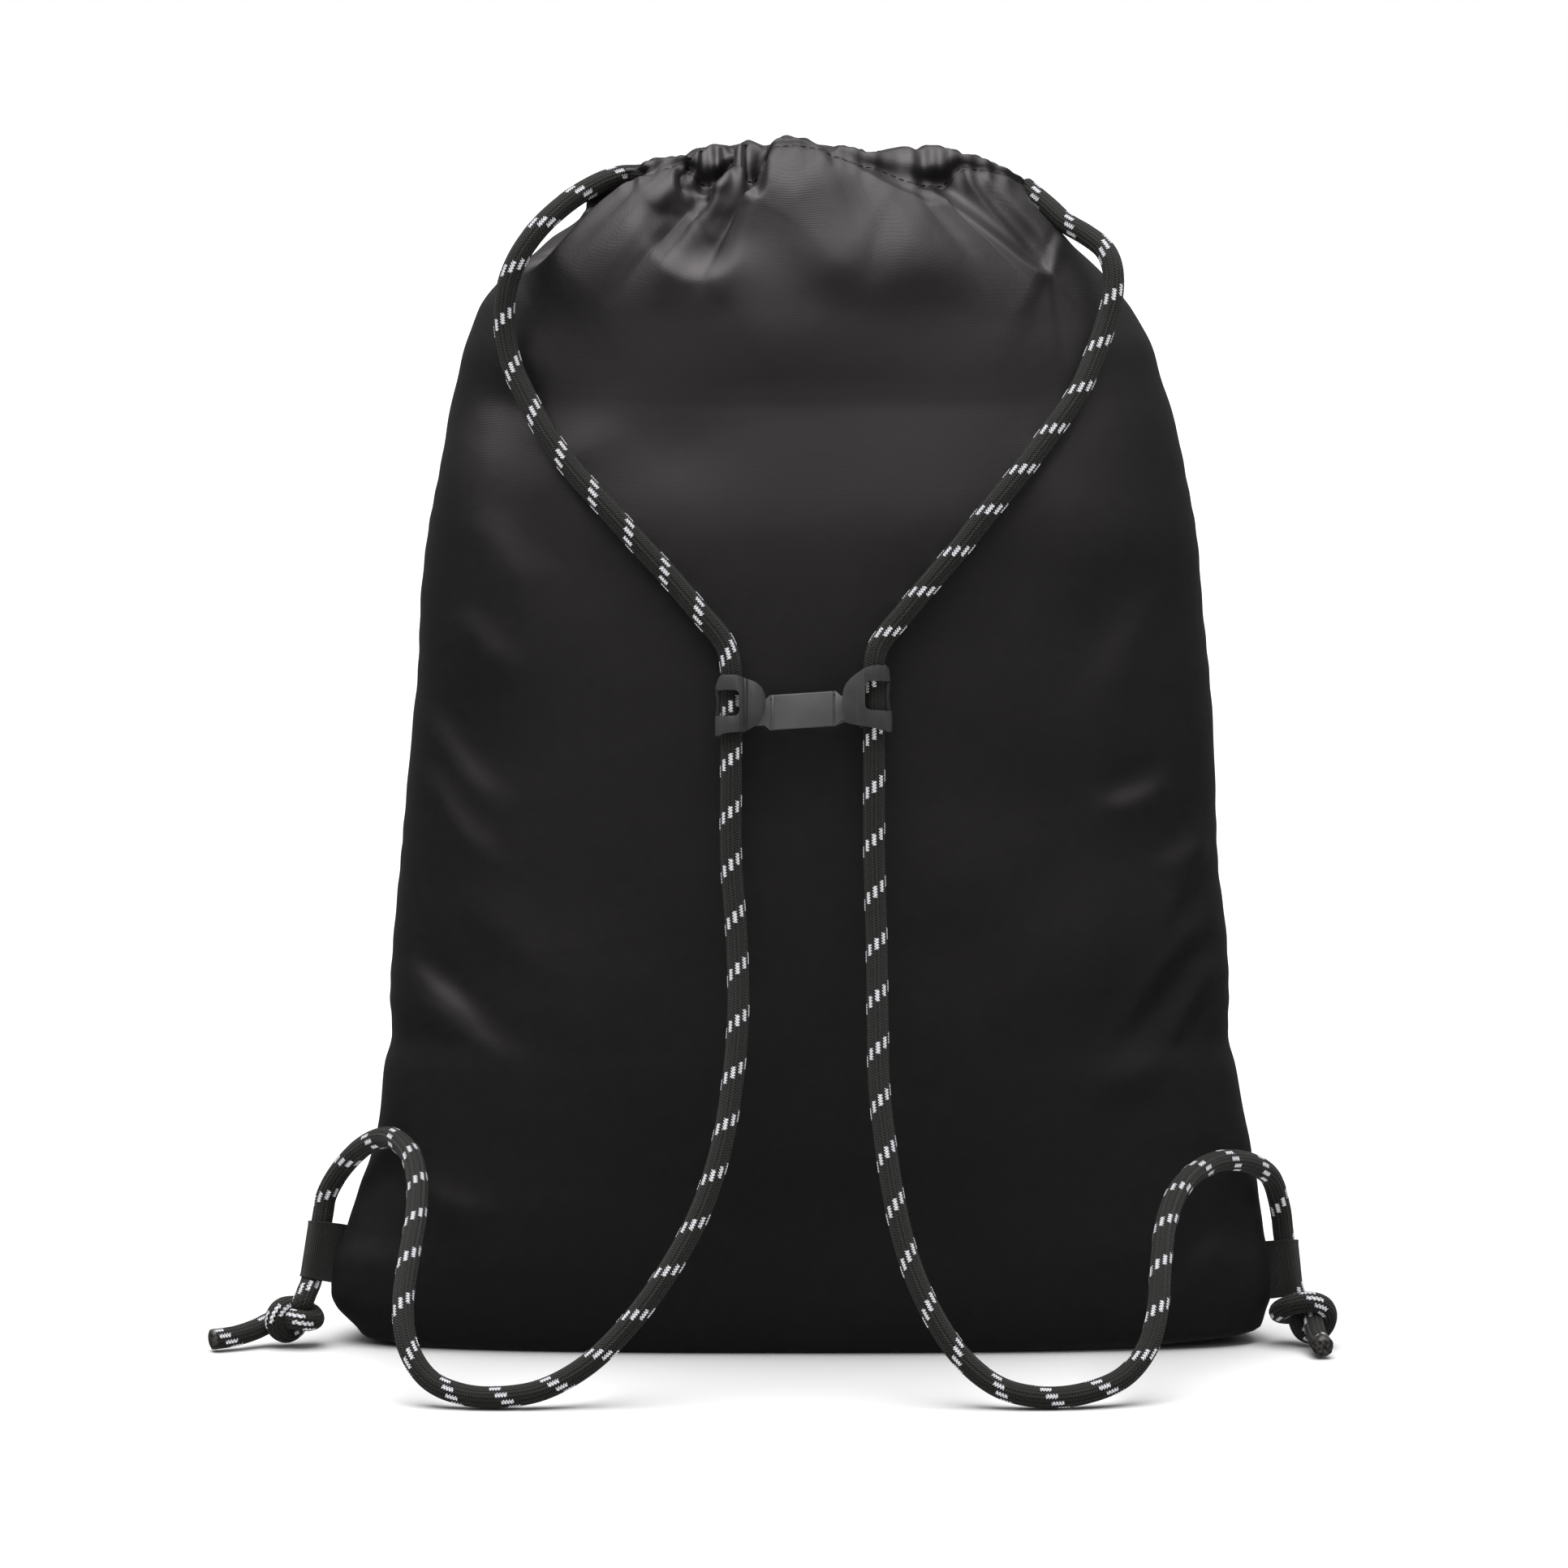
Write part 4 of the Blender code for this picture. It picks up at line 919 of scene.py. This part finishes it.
RIGHT_ROUTE = (
    (0.0932, -0.007, 0.4325), (0.0995, -0.013, 0.4268), (0.1074, -0.019, 0.4222), (0.1138, -0.025, 0.417),
    (0.1167, -0.03, 0.4098), (0.1165, -0.0338, 0.3996), (0.1141, -0.0365, 0.3905),
    (0.1097, -0.041, 0.3786), (0.1031, -0.0475, 0.3645), (0.0926, -0.0545, 0.35),
    (0.0812, -0.0612, 0.3355), (0.069, -0.0662, 0.321), (0.0573, -0.069, 0.3065),
    (0.0455, -0.0712, 0.293), (0.0382, -0.0726, 0.2843), (0.0306, -0.074, 0.2752),
    (0.0271, -0.0756, 0.2672), (0.0268, -0.0785, 0.25), (0.0268, -0.0828, 0.225),
    (0.0268, -0.0878, 0.195), (0.0276, -0.0955, 0.164), (0.0279, -0.1045, 0.138),
    (0.0284, -0.1135, 0.113), (0.0308, -0.1215, 0.0915), (0.0342, -0.129, 0.071),
    (0.0392, -0.1355, 0.052), (0.047, -0.1415, 0.0345), (0.0575, -0.146, 0.019), (0.0705, -0.149, 0.0085),
    (0.085, -0.15, 0.0045), (0.101, -0.1485, 0.005), (0.1165, -0.144, 0.01), (0.1262, -0.1375, 0.02),
    (0.1305, -0.1285, 0.033), (0.1322, -0.116, 0.0465), (0.135, -0.1, 0.06), (0.1415, -0.081, 0.07),
    (0.153, -0.06, 0.075), (0.166, -0.044, 0.0738), (0.1778, -0.0295, 0.066), (0.1828, -0.0212, 0.0525),
    (0.1845, -0.02, 0.0405), (0.187, -0.024, 0.019), (0.1872, -0.0243, 0.0175),
)
# where each cord leaves its casing
LEFT_EXIT = (-0.0525, -0.0113, 0.4441)
RIGHT_EXIT = (0.0846, 0.0025, 0.4397)


def cord_rings(path, sides):
    """Rings of points round a path, turned as little as possible from one to the next."""
    tangents = np.gradient(path, axis=0)
    tangents /= np.linalg.norm(tangents, axis=1, keepdims=True)
    normal = np.cross(tangents[0], (0.3, 0.5, 0.81))
    normal /= np.linalg.norm(normal)
    normals = []
    for tangent in tangents:
        normal = normal - tangent * np.dot(normal, tangent)
        normal /= np.linalg.norm(normal)
        normals.append(normal)
    normals = np.array(normals)
    binormals = np.cross(tangents, normals)
    turns = np.linspace(0, 2 * math.pi, sides + 1)
    cosines, sines = np.cos(turns)[None, :, None], np.sin(turns)[None, :, None]
    outward = normals[:, None, :] * cosines + binormals[:, None, :] * sines
    return path[:, None, :], outward, turns


def tube_faces(rows, columns):
    """Numbers of a tube's points, of the next point round each ring, and of its faces' corners."""
    index = np.arange(rows * (columns - 1)).reshape(rows, columns - 1)
    after = np.roll(index, -1, axis=1)
    quads = np.stack([index[:-1], after[:-1], after[1:], index[1:]], axis=2).reshape(-1, 4)
    return index, after, quads


def tracer_mask(along, turns):
    """1 on the white dashes: the same rule as in the cord's material."""
    turn = (turns / (2 * math.pi) * TRACER_COLUMNS)[None, :]
    column = np.floor(turn)
    across = np.abs(turn - column - 0.5)
    travel = along[:, None] - column * TRACER_PITCH / TRACER_COLUMNS
    repeat = np.mod(travel / TRACER_PITCH, 1.0)
    inside = np.abs(repeat - 0.5) < TRACER_DASH / TRACER_PITCH / 2
    return inside * (across < 0.27)


CORD_SIDES = 54
RIB_HEIGHT = 0.00012
DASH_HEIGHT = 0.0001


def cord_object(name, path, radius=CORD_RADIUS, sides=CORD_SIDES, start_along=0.0):
    """A braided cord along a path: ribs run along it and the white dashes stand a little proud."""
    centre, outward, turns = cord_rings(path, sides)
    along = distance_along(path) + start_along
    rib = np.abs(np.sin(turns * TRACER_COLUMNS))[None, :] * RIB_HEIGHT
    dash = tracer_mask(along, turns) * DASH_HEIGHT
    reach = radius - DASH_HEIGHT + rib + dash
    points = centre + outward * reach[:, :, None]
    rows, columns = points.shape[:2]
    index, after, quads = tube_faces(rows, columns)
    vertices = points[:, :-1].reshape(-1, 3).tolist()
    faces = quads.tolist()
    caps = []
    for row, flip in ((0, True), (rows - 1, False)):
        vertices.append(path[row].tolist())
        middle = len(vertices) - 1
        for k in range(columns - 1):
            a, b = int(index[row, k]), int(after[row, k])
            caps.append((middle, b, a) if flip else (middle, a, b))
    data = bpy.data.meshes.new(name)
    data.from_pydata(vertices, [], faces + caps)
    layout = data.uv_layers.new(name="layout")
    u = turns / (2 * math.pi)
    uv = np.zeros((len(quads), 4, 2))
    row_of = np.repeat(np.arange(rows - 1), columns - 1)
    column_of = np.tile(np.arange(columns - 1), rows - 1)
    for corner, (aside, onward) in enumerate(((0, 0), (1, 0), (1, 1), (0, 1))):
        uv[:, corner] = np.stack([u[column_of + aside], along[row_of + onward]], axis=1)
    cap_uv = np.zeros((len(caps) * 3, 2))
    layout.data.foreach_set("uv", np.concatenate([uv.reshape(-1, 2), cap_uv]).ravel())
    data.shade_smooth()
    piece = placed(name, data)
    return piece


# Each overhand knot, from inside the web loop to the end of its tail
LEFT_KNOT_ROUTE = (
    (-0.1866, -0.024, 0.0265), (-0.1888, -0.0292, 0.02), (-0.1904, -0.0318, 0.0158),
    (-0.1914, -0.029, 0.0104), (-0.1932, -0.0272, 0.0064), (-0.1966, -0.03, 0.005),
    (-0.1996, -0.034, 0.0076), (-0.2002, -0.036, 0.0118), (-0.198, -0.0344, 0.0152),
    (-0.1944, -0.028, 0.015), (-0.1906, -0.0236, 0.013), (-0.1872, -0.0248, 0.0114),
    (-0.1858, -0.03, 0.0104), (-0.1878, -0.0352, 0.0106), (-0.1912, -0.037, 0.0112),
    (-0.1946, -0.0346, 0.0114), (-0.1971, -0.0296, 0.0108), (-0.2002, -0.0275, 0.0098),
    (-0.2038, -0.0292, 0.0084), (-0.2088, -0.0332, 0.0066), (-0.2158, -0.038, 0.0052),
    (-0.2246, -0.0415, 0.0045),
)
RIGHT_KNOT_ROUTE = (
    (0.1845, -0.02, 0.0405), (0.1868, -0.0225, 0.026), (0.1888, -0.0255, 0.018),
    (0.1892, -0.0302, 0.0115), (0.1912, -0.0312, 0.0064), (0.1953, -0.03, 0.0046),
    (0.199, -0.0302, 0.0072), (0.2003, -0.0326, 0.012), (0.1986, -0.0352, 0.0162),
    (0.1942, -0.0364, 0.0181), (0.189, -0.0352, 0.0174), (0.1845, -0.0328, 0.0155),
    (0.1824, -0.0278, 0.0128), (0.1846, -0.0225, 0.011), (0.1893, -0.0213, 0.0108),
    (0.1933, -0.024, 0.0118), (0.195, -0.03, 0.0116), (0.195, -0.0385, 0.0092), (0.1958, -0.0475, 0.0058),
    (0.1974, -0.0572, 0.0046),
)
KNOT_CORD_RADIUS = 0.0039
KNOT_COVERED = {"left": 0.0155, "right": 0.029}  # of the knot's route, what counts as free cord
CASING_CORD_RADIUS = 0.0034
CASING_CORD_FLATTENED = 0.45
CASING_CORD_DROP = 0.008
CASING_CORD_TOP = 0.4436
PATH_STEP = 0.0005


def build_cords(braid, melted):
    """Each shoulder cord, from its casing to its knot, and what is beyond."""
    for name, exit_point, route in (("left", LEFT_EXIT, LEFT_ROUTE), ("right", RIGHT_EXIT, RIGHT_ROUTE)):
        knot_route = LEFT_KNOT_ROUTE if name == "left" else RIGHT_KNOT_ROUTE
        before = [point for point in route if point[2] > knot_route[0][2] + 0.004 or abs(point[0]) < 0.17]
        whole = smooth_path([exit_point, *before, *knot_route], PATH_STEP)
        travelled = distance_along(whole)
        knot_length = distance_along(smooth_path(knot_route, PATH_STEP))[-1]
        turn = int(np.searchsorted(travelled, travelled[-1] - knot_length + KNOT_COVERED[name]))
        path, knot_line = whole[: turn + 1], whole[turn:]
        cord = cord_object(name + "_cord_braided", path)
        cord.data.materials.append(braid)
        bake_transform(cord)
        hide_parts(name + "_cord")
        pieces = build_knot(name, knot_line, float(travelled[turn]), braid, melted)
    build_cords_in_casing(braid)


def build_cords_in_casing(braid):
    """The run of each cord that its casing hides."""
    for name, side, start, end in (("left", STRAP_SIDE, -1.0, 1.3), ("right", FAR_SIDE, -1.3, 1.0)):
        turns = np.linspace(start, end, 60)
        low = mouth_line(turns, STITCH_LINE, STITCH_DEPTH, side)
        line = (low + mouth_line(turns, RIM_LINE, RIM_DEPTH, side)) / 2
        line[:, 1] = MOUTH_MIDDLE + (line[:, 1] - MOUTH_MIDDLE) * CASING_CORD_FLATTENED
        line[:, 2] = np.minimum(line[:, 2] - CASING_CORD_DROP, CASING_CORD_TOP)
        route = smooth_path(line[::6], 0.001)
        inner = cord_object(name + "_cord_in_casing_braided", route, CASING_CORD_RADIUS, 36)
        inner.data.materials.append(braid)
        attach(inner, "bag")
        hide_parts(name + "_cord_in_casing")


SEAL_POINTS = {"left": 3, "right": 9}
SEAL_LUMPS = {"left": 0.00012, "right": 0.00055}


def build_knot(name, line, start_along, braid, melted):
    """The knot with its tail, and the end sealed by heat."""
    seal = SEAL_POINTS[name]
    knot = cord_object(name + "_overhand_knot", line[:-seal], KNOT_CORD_RADIUS, CORD_SIDES, start_along)
    knot.data.materials.append(braid)
    end = sealed_end(name + "_sealed_end", line[-seal - 2 :], SEAL_LUMPS[name])
    end.data.materials.append(melted)
    for piece in (knot, end):
        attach(piece, name + "_loop")
    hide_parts(name + "_knot", name + "_cord_tail")
    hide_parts(name + "_cord_tip")
    return [knot, end]


def sealed_end(name, line, lumps):
    """The melted end of a tail: a short lumpy cap that closes over the braid."""
    centre, outward, _ = cord_rings(line, 40)
    share = np.linspace(0.0, 1.0, len(line))
    radius = KNOT_CORD_RADIUS * (1.015 - 0.3 * share**6)
    points = centre + outward * radius[:, None, None]
    middle = line[-1] + (line[-1] - line[-2]) * 0.3
    inner = [middle + (points[-1] - middle) * k for k in (0.9, 0.72, 0.48, 0.22)]
    points = np.concatenate([points, np.stack(inner)])
    points += outward[0][None] * noise_field(points, 620.0, 5)[:, :, None] * lumps
    points[:, :, 2] = np.maximum(points[:, :, 2], LOWEST)
    data = bpy.data.meshes.new(name)
    index, _, quads = tube_faces(*points.shape[:2])
    lids = [tuple(index[0].tolist()), tuple(reversed(index[-1].tolist()))]
    data.from_pydata(points[:, :-1].reshape(-1, 3).tolist(), [], quads.tolist() + lids)
    data.shade_smooth()
    piece = placed(name, data)
    return piece


# ---------------------------------------------------------------- web loops at the bottom corners

WEB_LOOPS = {
    "left": ((-0.1864, -0.024, 0.0248), (-0.1832, -0.02, 0.0461)),
    "right": ((0.1868, -0.024, 0.0182), (0.1848, -0.02, 0.039)),
}
WEB_RADIUS = 0.0052
WEB_THICKNESS = 0.0013
WEB_TAIL = 0.0142
WEB_LIP = 0.0002
WEB_SLUMP = 0.0006
WEB_EDGE = 0.0004


def web_section(count):
    """The strap's way round the cord, seen along it: from the seam, round the front, and back to the seam."""
    turns = np.radians(np.linspace(52, 308, 26))
    ring = [(WEB_RADIUS * math.cos(turn), WEB_RADIUS * math.sin(turn)) for turn in turns]
    corners = [(WEB_TAIL, 0.0008), (0.0112, 0.0008), (0.0084, 0.001), (0.0064, 0.0022)]
    back = [(x, -y) for x, y in reversed(corners)]
    line = smooth_path([(x, y, 0.0) for x, y in corners + ring + back], 0.0002)
    wanted = np.linspace(0, len(line) - 1, count)
    return np.stack([np.interp(wanted, np.arange(len(line)), line[:, axis]) for axis in range(2)], axis=1)


def build_web_loops(web):
    """The webbing loop at each bottom corner, round its cord."""
    for name, (foot, head) in WEB_LOOPS.items():
        inward = 1 if name == "left" else -1
        foot, head = np.array(foot), np.array(head)
        along = (head - foot) / np.linalg.norm(head - foot)
        front = np.array([0.0, -1.0, 0.0])
        front = front - along * np.dot(front, along)
        front /= np.linalg.norm(front)
        seamward = np.cross(along, front)
        seamward *= inward * np.sign(seamward[0])
        section = web_section(150)
        rows = []
        for share in np.linspace(0.0, 1.0, 44):
            lip = WEB_LIP * (ease(0.93, 1.0, share) + ease(0.07, 0.0, share))
            middle = foot + (head - foot) * share
            spread = 1 + lip / WEB_RADIUS
            ring = middle + section[:, :1] * seamward * spread + section[:, 1:] * front * spread
            slump = WEB_SLUMP * np.sin(section[:, 0] / 0.006) * (share - 0.5)
            rows.append(ring + along * slump[:, None])
        loop = grid_object(name + "_web_loop_ribbed", np.stack(rows), inward > 0, WEB_THICKNESS)
        bevel = loop.modifiers.new("soft_edges", "BEVEL")
        bevel.width = WEB_EDGE
        bevel.segments = 2
        bevel.limit_method = "ANGLE"
        bevel.angle_limit = math.radians(50)
        loop.data.materials.append(web)
        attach(loop, name + "_loop")
        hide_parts(name + "_web_loop")


# ---------------------------------------------------------------- sternum clips and band

STERNUM_LEAN = math.atan(0.17)
LEFT_CLIP_AT = Vector((-0.0262, -0.0785, 0.25))
RIGHT_CLIP_AT = Vector((0.0268, -0.0785, 0.25))
RIGHT_CLIP_RISE = 0.0022
CLIP_BORE = 0.0044
CLIP_DEPTH = 0.008
MOULDED_EDGE = 0.00045
PLATE_EDGE = 0.00032
# Each clip's outline from the front, as (x, z) round its own middle, and the window where the cord shows
LEFT_CLIP_OUTLINE = (
    (-0.0042, 0.0113), (0.0026, 0.0112), (0.0052, 0.0101), (0.01, 0.0082), (0.0122, 0.0054),
    (0.013, 0.0014), (0.0124, -0.003), (0.0104, -0.0066), (0.0068, -0.0091), (0.004, -0.0098),
    (-0.0022, -0.0103), (-0.006, -0.0118), (-0.006, -0.005), (-0.0052, 0.001), (-0.006, 0.0062),
)
LEFT_CLIP_WINDOW = ((-0.012, 0.0057), (0.0031, 0.0057), (0.0031, -0.004), (-0.012, -0.004))
RIGHT_CLIP_OUTLINE = (
    (0.0054, 0.0124), (0.0008, 0.0128), (-0.0036, 0.0116), (-0.0084, 0.0082), (-0.011, 0.0052),
    (-0.0118, 0.002), (-0.0117, -0.0054), (-0.0106, -0.0088), (-0.0058, -0.0097), (0.0, -0.0106),
    (0.0066, -0.0122), (0.0068, -0.006), (0.0054, 0.001), (0.006, 0.0062),
)
RIGHT_CLIP_WINDOW = ((0.013, 0.0068), (-0.0034, 0.0068), (-0.0034, -0.004), (0.013, -0.0046))
# The clips seen from above, as (x towards the band, y): the front, a barrel over the cord that meets the
# D face at a crease on the left clip and runs smoothly into it on the right one, and the back
LEFT_CLIP_FRONT = (
    (-0.0064, -0.0028), (-0.0056, -0.0044), (-0.004, -0.0057), (-0.0018, -0.0065), (0.0006, -0.0067),
    (0.0028, -0.0063), (0.0042, -0.0055), (0.005, -0.0047), (0.0056, -0.0048), (0.0064, -0.0058),
    (0.009, -0.0062), (0.0114, -0.0058), (0.0134, -0.0047),
)
RIGHT_CLIP_FRONT = (
    (-0.007, -0.0026), (-0.006, -0.0044), (-0.0042, -0.0058), (-0.0018, -0.0066), (0.001, -0.0069),
    (0.004, -0.0069), (0.0068, -0.0066), (0.0094, -0.0061), (0.0116, -0.0054), (0.0134, -0.0047),
)
CLIP_BACK = ((0.0056, -0.0042), (0.0052, -0.0028), (0.0052, 0.0046), (0.0036, 0.006), (-0.004, 0.006))


def rounded_outline(corners, radius, steps=5):
    """The outline with each corner turned into a small curve."""
    corners = [Vector(corner) for corner in corners]
    points = []
    for k, corner in enumerate(corners):
        before = corners[k - 1] - corner
        after = corners[(k + 1) % len(corners)] - corner
        reach = min(radius, before.length * 0.49, after.length * 0.49)
        a = corner + before.normalized() * reach
        c = corner + after.normalized() * reach
        for step in range(steps + 1):
            t = step / steps
            points.append(a * (1 - t) ** 2 + corner * 2 * t * (1 - t) + c * t**2)
    return points


def prism(name, outline, low, high, axis):
    """The outline drawn in a plane, carried from low to high along the axis Y or Z."""
    data = bpy.data.meshes.new(name)
    work = bmesh.new()
    ends = []
    for level in (low, high):
        places = [(p[0], level, p[1]) if axis == "Y" else (p[0], p[1], level) for p in outline]
        ends.append([work.verts.new(place) for place in places])
    count = len(outline)
    work.faces.new(ends[0])
    work.faces.new(list(reversed(ends[1])))
    for k in range(count):
        after = (k + 1) % count
        work.faces.new((ends[0][after], ends[0][k], ends[1][k], ends[1][after]))
    bmesh.ops.remove_doubles(work, verts=work.verts, dist=0.00001)
    bmesh.ops.recalc_face_normals(work, faces=work.faces)
    work.to_mesh(data)
    work.free()
    piece = placed(name, data)
    return piece


def block(name, xs, ys, zs):
    return prism(name, [(xs[0], ys[0]), (xs[1], ys[0]), (xs[1], ys[1]), (xs[0], ys[1])], zs[0], zs[1], "Z")


def circle(x, y, radius, count):
    turns = np.linspace(0, 2 * math.pi, count, endpoint=False)
    return [(x + radius * math.cos(turn), y + radius * math.sin(turn)) for turn in turns]


def carved(piece, steps, bevel_width):
    """Joins, cuts and crosses the piece with others, rounds its edges, and removes the others."""
    for operation, other in steps:
        cut = piece.modifiers.new("shape", "BOOLEAN")
        cut.operation = operation
        cut.object = other
    bevel = piece.modifiers.new("edges", "BEVEL")
    bevel.width = bevel_width
    bevel.segments = 3
    bevel.limit_method = "ANGLE"
    bevel.angle_limit = math.radians(38)
    bevel.harden_normals = True
    graph = bpy.context.evaluated_depsgraph_get()
    data = bpy.data.meshes.new_from_object(piece.evaluated_get(graph))
    piece.modifiers.clear()
    piece.data = data
    data.materials.clear()
    for _, other in steps:
        bpy.data.objects.remove(other)
    data.polygons.foreach_set("use_smooth", [True] * len(data.polygons))
    data.set_sharp_from_angle(angle=math.radians(34))
    return piece


def place_on_cord(piece, at, rise):
    """Leans the piece with the cords and sets it down at its place."""
    turn = Matrix.Rotation(-STERNUM_LEAN, 4, "X")
    along = turn @ Vector((0, 0, 1))
    piece.data.transform(Matrix.Translation(at + along * rise) @ turn)


def build_clip(name, outline, window, front, inner, at, rise, plastic):
    """A moulded clip: two bridges over the cord, a bar behind it, and a D face over the band's end."""
    clip = prism(name + "_moulded", rounded_outline(outline, 0.0016), -CLIP_DEPTH, CLIP_DEPTH, "Y")
    ends = ((front[-1][0], -0.0041), *CLIP_BACK, (front[0][0], 0.004))
    section = prism("section", [(inner * x, y) for x, y in front + ends], -0.02, 0.02, "Z")
    ear_x = sorted((inner * 0.004, inner * 0.0088))
    bore = prism("bore", circle(0, 0, CLIP_BORE, 40), -0.03, 0.03, "Z")
    opening = prism("window", rounded_outline(window, 0.0024), -0.02, 0.0014, "Y")
    steps = [
        ("INTERSECT", section),
        ("UNION", block("ear", ear_x, (-0.004, 0.0018), (0.005, 0.007))),
        ("DIFFERENCE", bore),
        ("DIFFERENCE", opening),
        ("DIFFERENCE", block("upper_throat", (-0.0042, 0.0042), (0.0, 0.01), (0.0066, 0.02))),
        ("DIFFERENCE", block("lower_throat", (-0.0042, 0.0042), (0.0, 0.01), (-0.02, -0.0058))),
    ]
    carved(clip, steps, MOULDED_EDGE)
    place_on_cord(clip, at, rise)
    clip.data.materials.append(plastic)
    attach(clip, name.replace("_cord", ""))
    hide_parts(name)


BAND_LEFT_PIN = 0.0097
BAND_HALF_HEIGHT = 0.0065
BAND_DROP = 0.0028
BAND_HALF_THICKNESS = 0.0014
BAND_NECK = 0.0026  # from a pin's axis to where the band is thin
PIN_RADIUS = 0.0024
PLATE_LEFT = 0.016
PLATE_HALF_HEIGHT = 0.0064
END_TAPER = 0.7
GROOVE_LEFT = 0.0148
GROOVE_HALF_WIDTH = 0.00022


def pin_arc(x, first):
    """The band's section round a pin, from one face to the other."""
    turns = [math.radians(turn) for turn in range(first, first + 241, 20)]
    return [(x + PIN_RADIUS * math.cos(turn), PIN_RADIUS * math.sin(turn)) for turn in turns]


def build_band(rubber):
    """The rubber band between the clips, thicker round each pin, with a plain plate on its front."""
    span = RIGHT_CLIP_AT.x - LEFT_CLIP_AT.x
    right_pin = span - BAND_LEFT_PIN
    section = [
        *pin_arc(BAND_LEFT_PIN, 60),
        (BAND_LEFT_PIN + BAND_NECK, -BAND_HALF_THICKNESS),
        (right_pin - BAND_NECK, -BAND_HALF_THICKNESS),
        *pin_arc(right_pin, 240),
        (right_pin - BAND_NECK, BAND_HALF_THICKNESS),
        (BAND_LEFT_PIN + BAND_NECK, BAND_HALF_THICKNESS),
    ]
    band = prism("sternum_band_moulded", section, -BAND_HALF_HEIGHT, BAND_HALF_HEIGHT, "Z")
    half = GROOVE_HALF_WIDTH
    grooves = [
        ("DIFFERENCE", block("groove", (x - half, x + half), (-0.003, -0.0011), (-0.02, 0.02)))
        for x in (GROOVE_LEFT, right_pin - 0.005)
    ]
    carved(band, grooves, MOULDED_EDGE)
    plate_right = right_pin - 0.0056
    plate_outline = (
        (PLATE_LEFT, PLATE_HALF_HEIGHT), (plate_right, PLATE_HALF_HEIGHT),
        (plate_right, -PLATE_HALF_HEIGHT), (PLATE_LEFT, -PLATE_HALF_HEIGHT),
    )
    plate = prism("band_plate_moulded", rounded_outline(plate_outline, 0.0006), -0.0021, -0.00142, "Y")
    carved(plate, [], PLATE_EDGE)
    for piece, node in ((band, "sternum_band"), (plate, "band_plate")):
        for vertex in piece.data.vertices:
            if not BAND_LEFT_PIN + 0.0034 < vertex.co.x < right_pin - 0.003:
                vertex.co.z *= END_TAPER
            share = (vertex.co.x - BAND_LEFT_PIN) / (right_pin - BAND_LEFT_PIN)
            vertex.co.z += RIGHT_CLIP_RISE * share - BAND_DROP
        place_on_cord(piece, LEFT_CLIP_AT, 0.0)
        piece.data.materials.append(rubber)
        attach(piece, "band")
        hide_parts(node)


# ---------------------------------------------------------------- putting it together


def main():
    build_camera()
    build_studio()
    cloth = cloth_material()
    braid = cord_material()
    web = web_material()
    plastic = plastic_material("clip_plastic_satin", (0.056, 0.055, 0.057, 1), (0.042, 0.041, 0.043, 1), 0.28)
    rubber = plastic_material("band_rubber_matt", (0.1, 0.099, 0.102, 1), (0.082, 0.081, 0.084, 1), 0.44)
    thread = thread_material()
    melted = melted_material()
    tape = tape_material()
    build_bag(cloth, thread, tape)
    build_cords(braid, melted)
    build_web_loops(web)
    build_clip(
        "left_cord_clip", LEFT_CLIP_OUTLINE, LEFT_CLIP_WINDOW, LEFT_CLIP_FRONT, 1, LEFT_CLIP_AT,
        0.0, plastic,
    )
    build_clip(
        "right_cord_clip", RIGHT_CLIP_OUTLINE, RIGHT_CLIP_WINDOW, RIGHT_CLIP_FRONT, -1, RIGHT_CLIP_AT,
        RIGHT_CLIP_RISE, plastic,
    )
    build_band(rubber)


main()
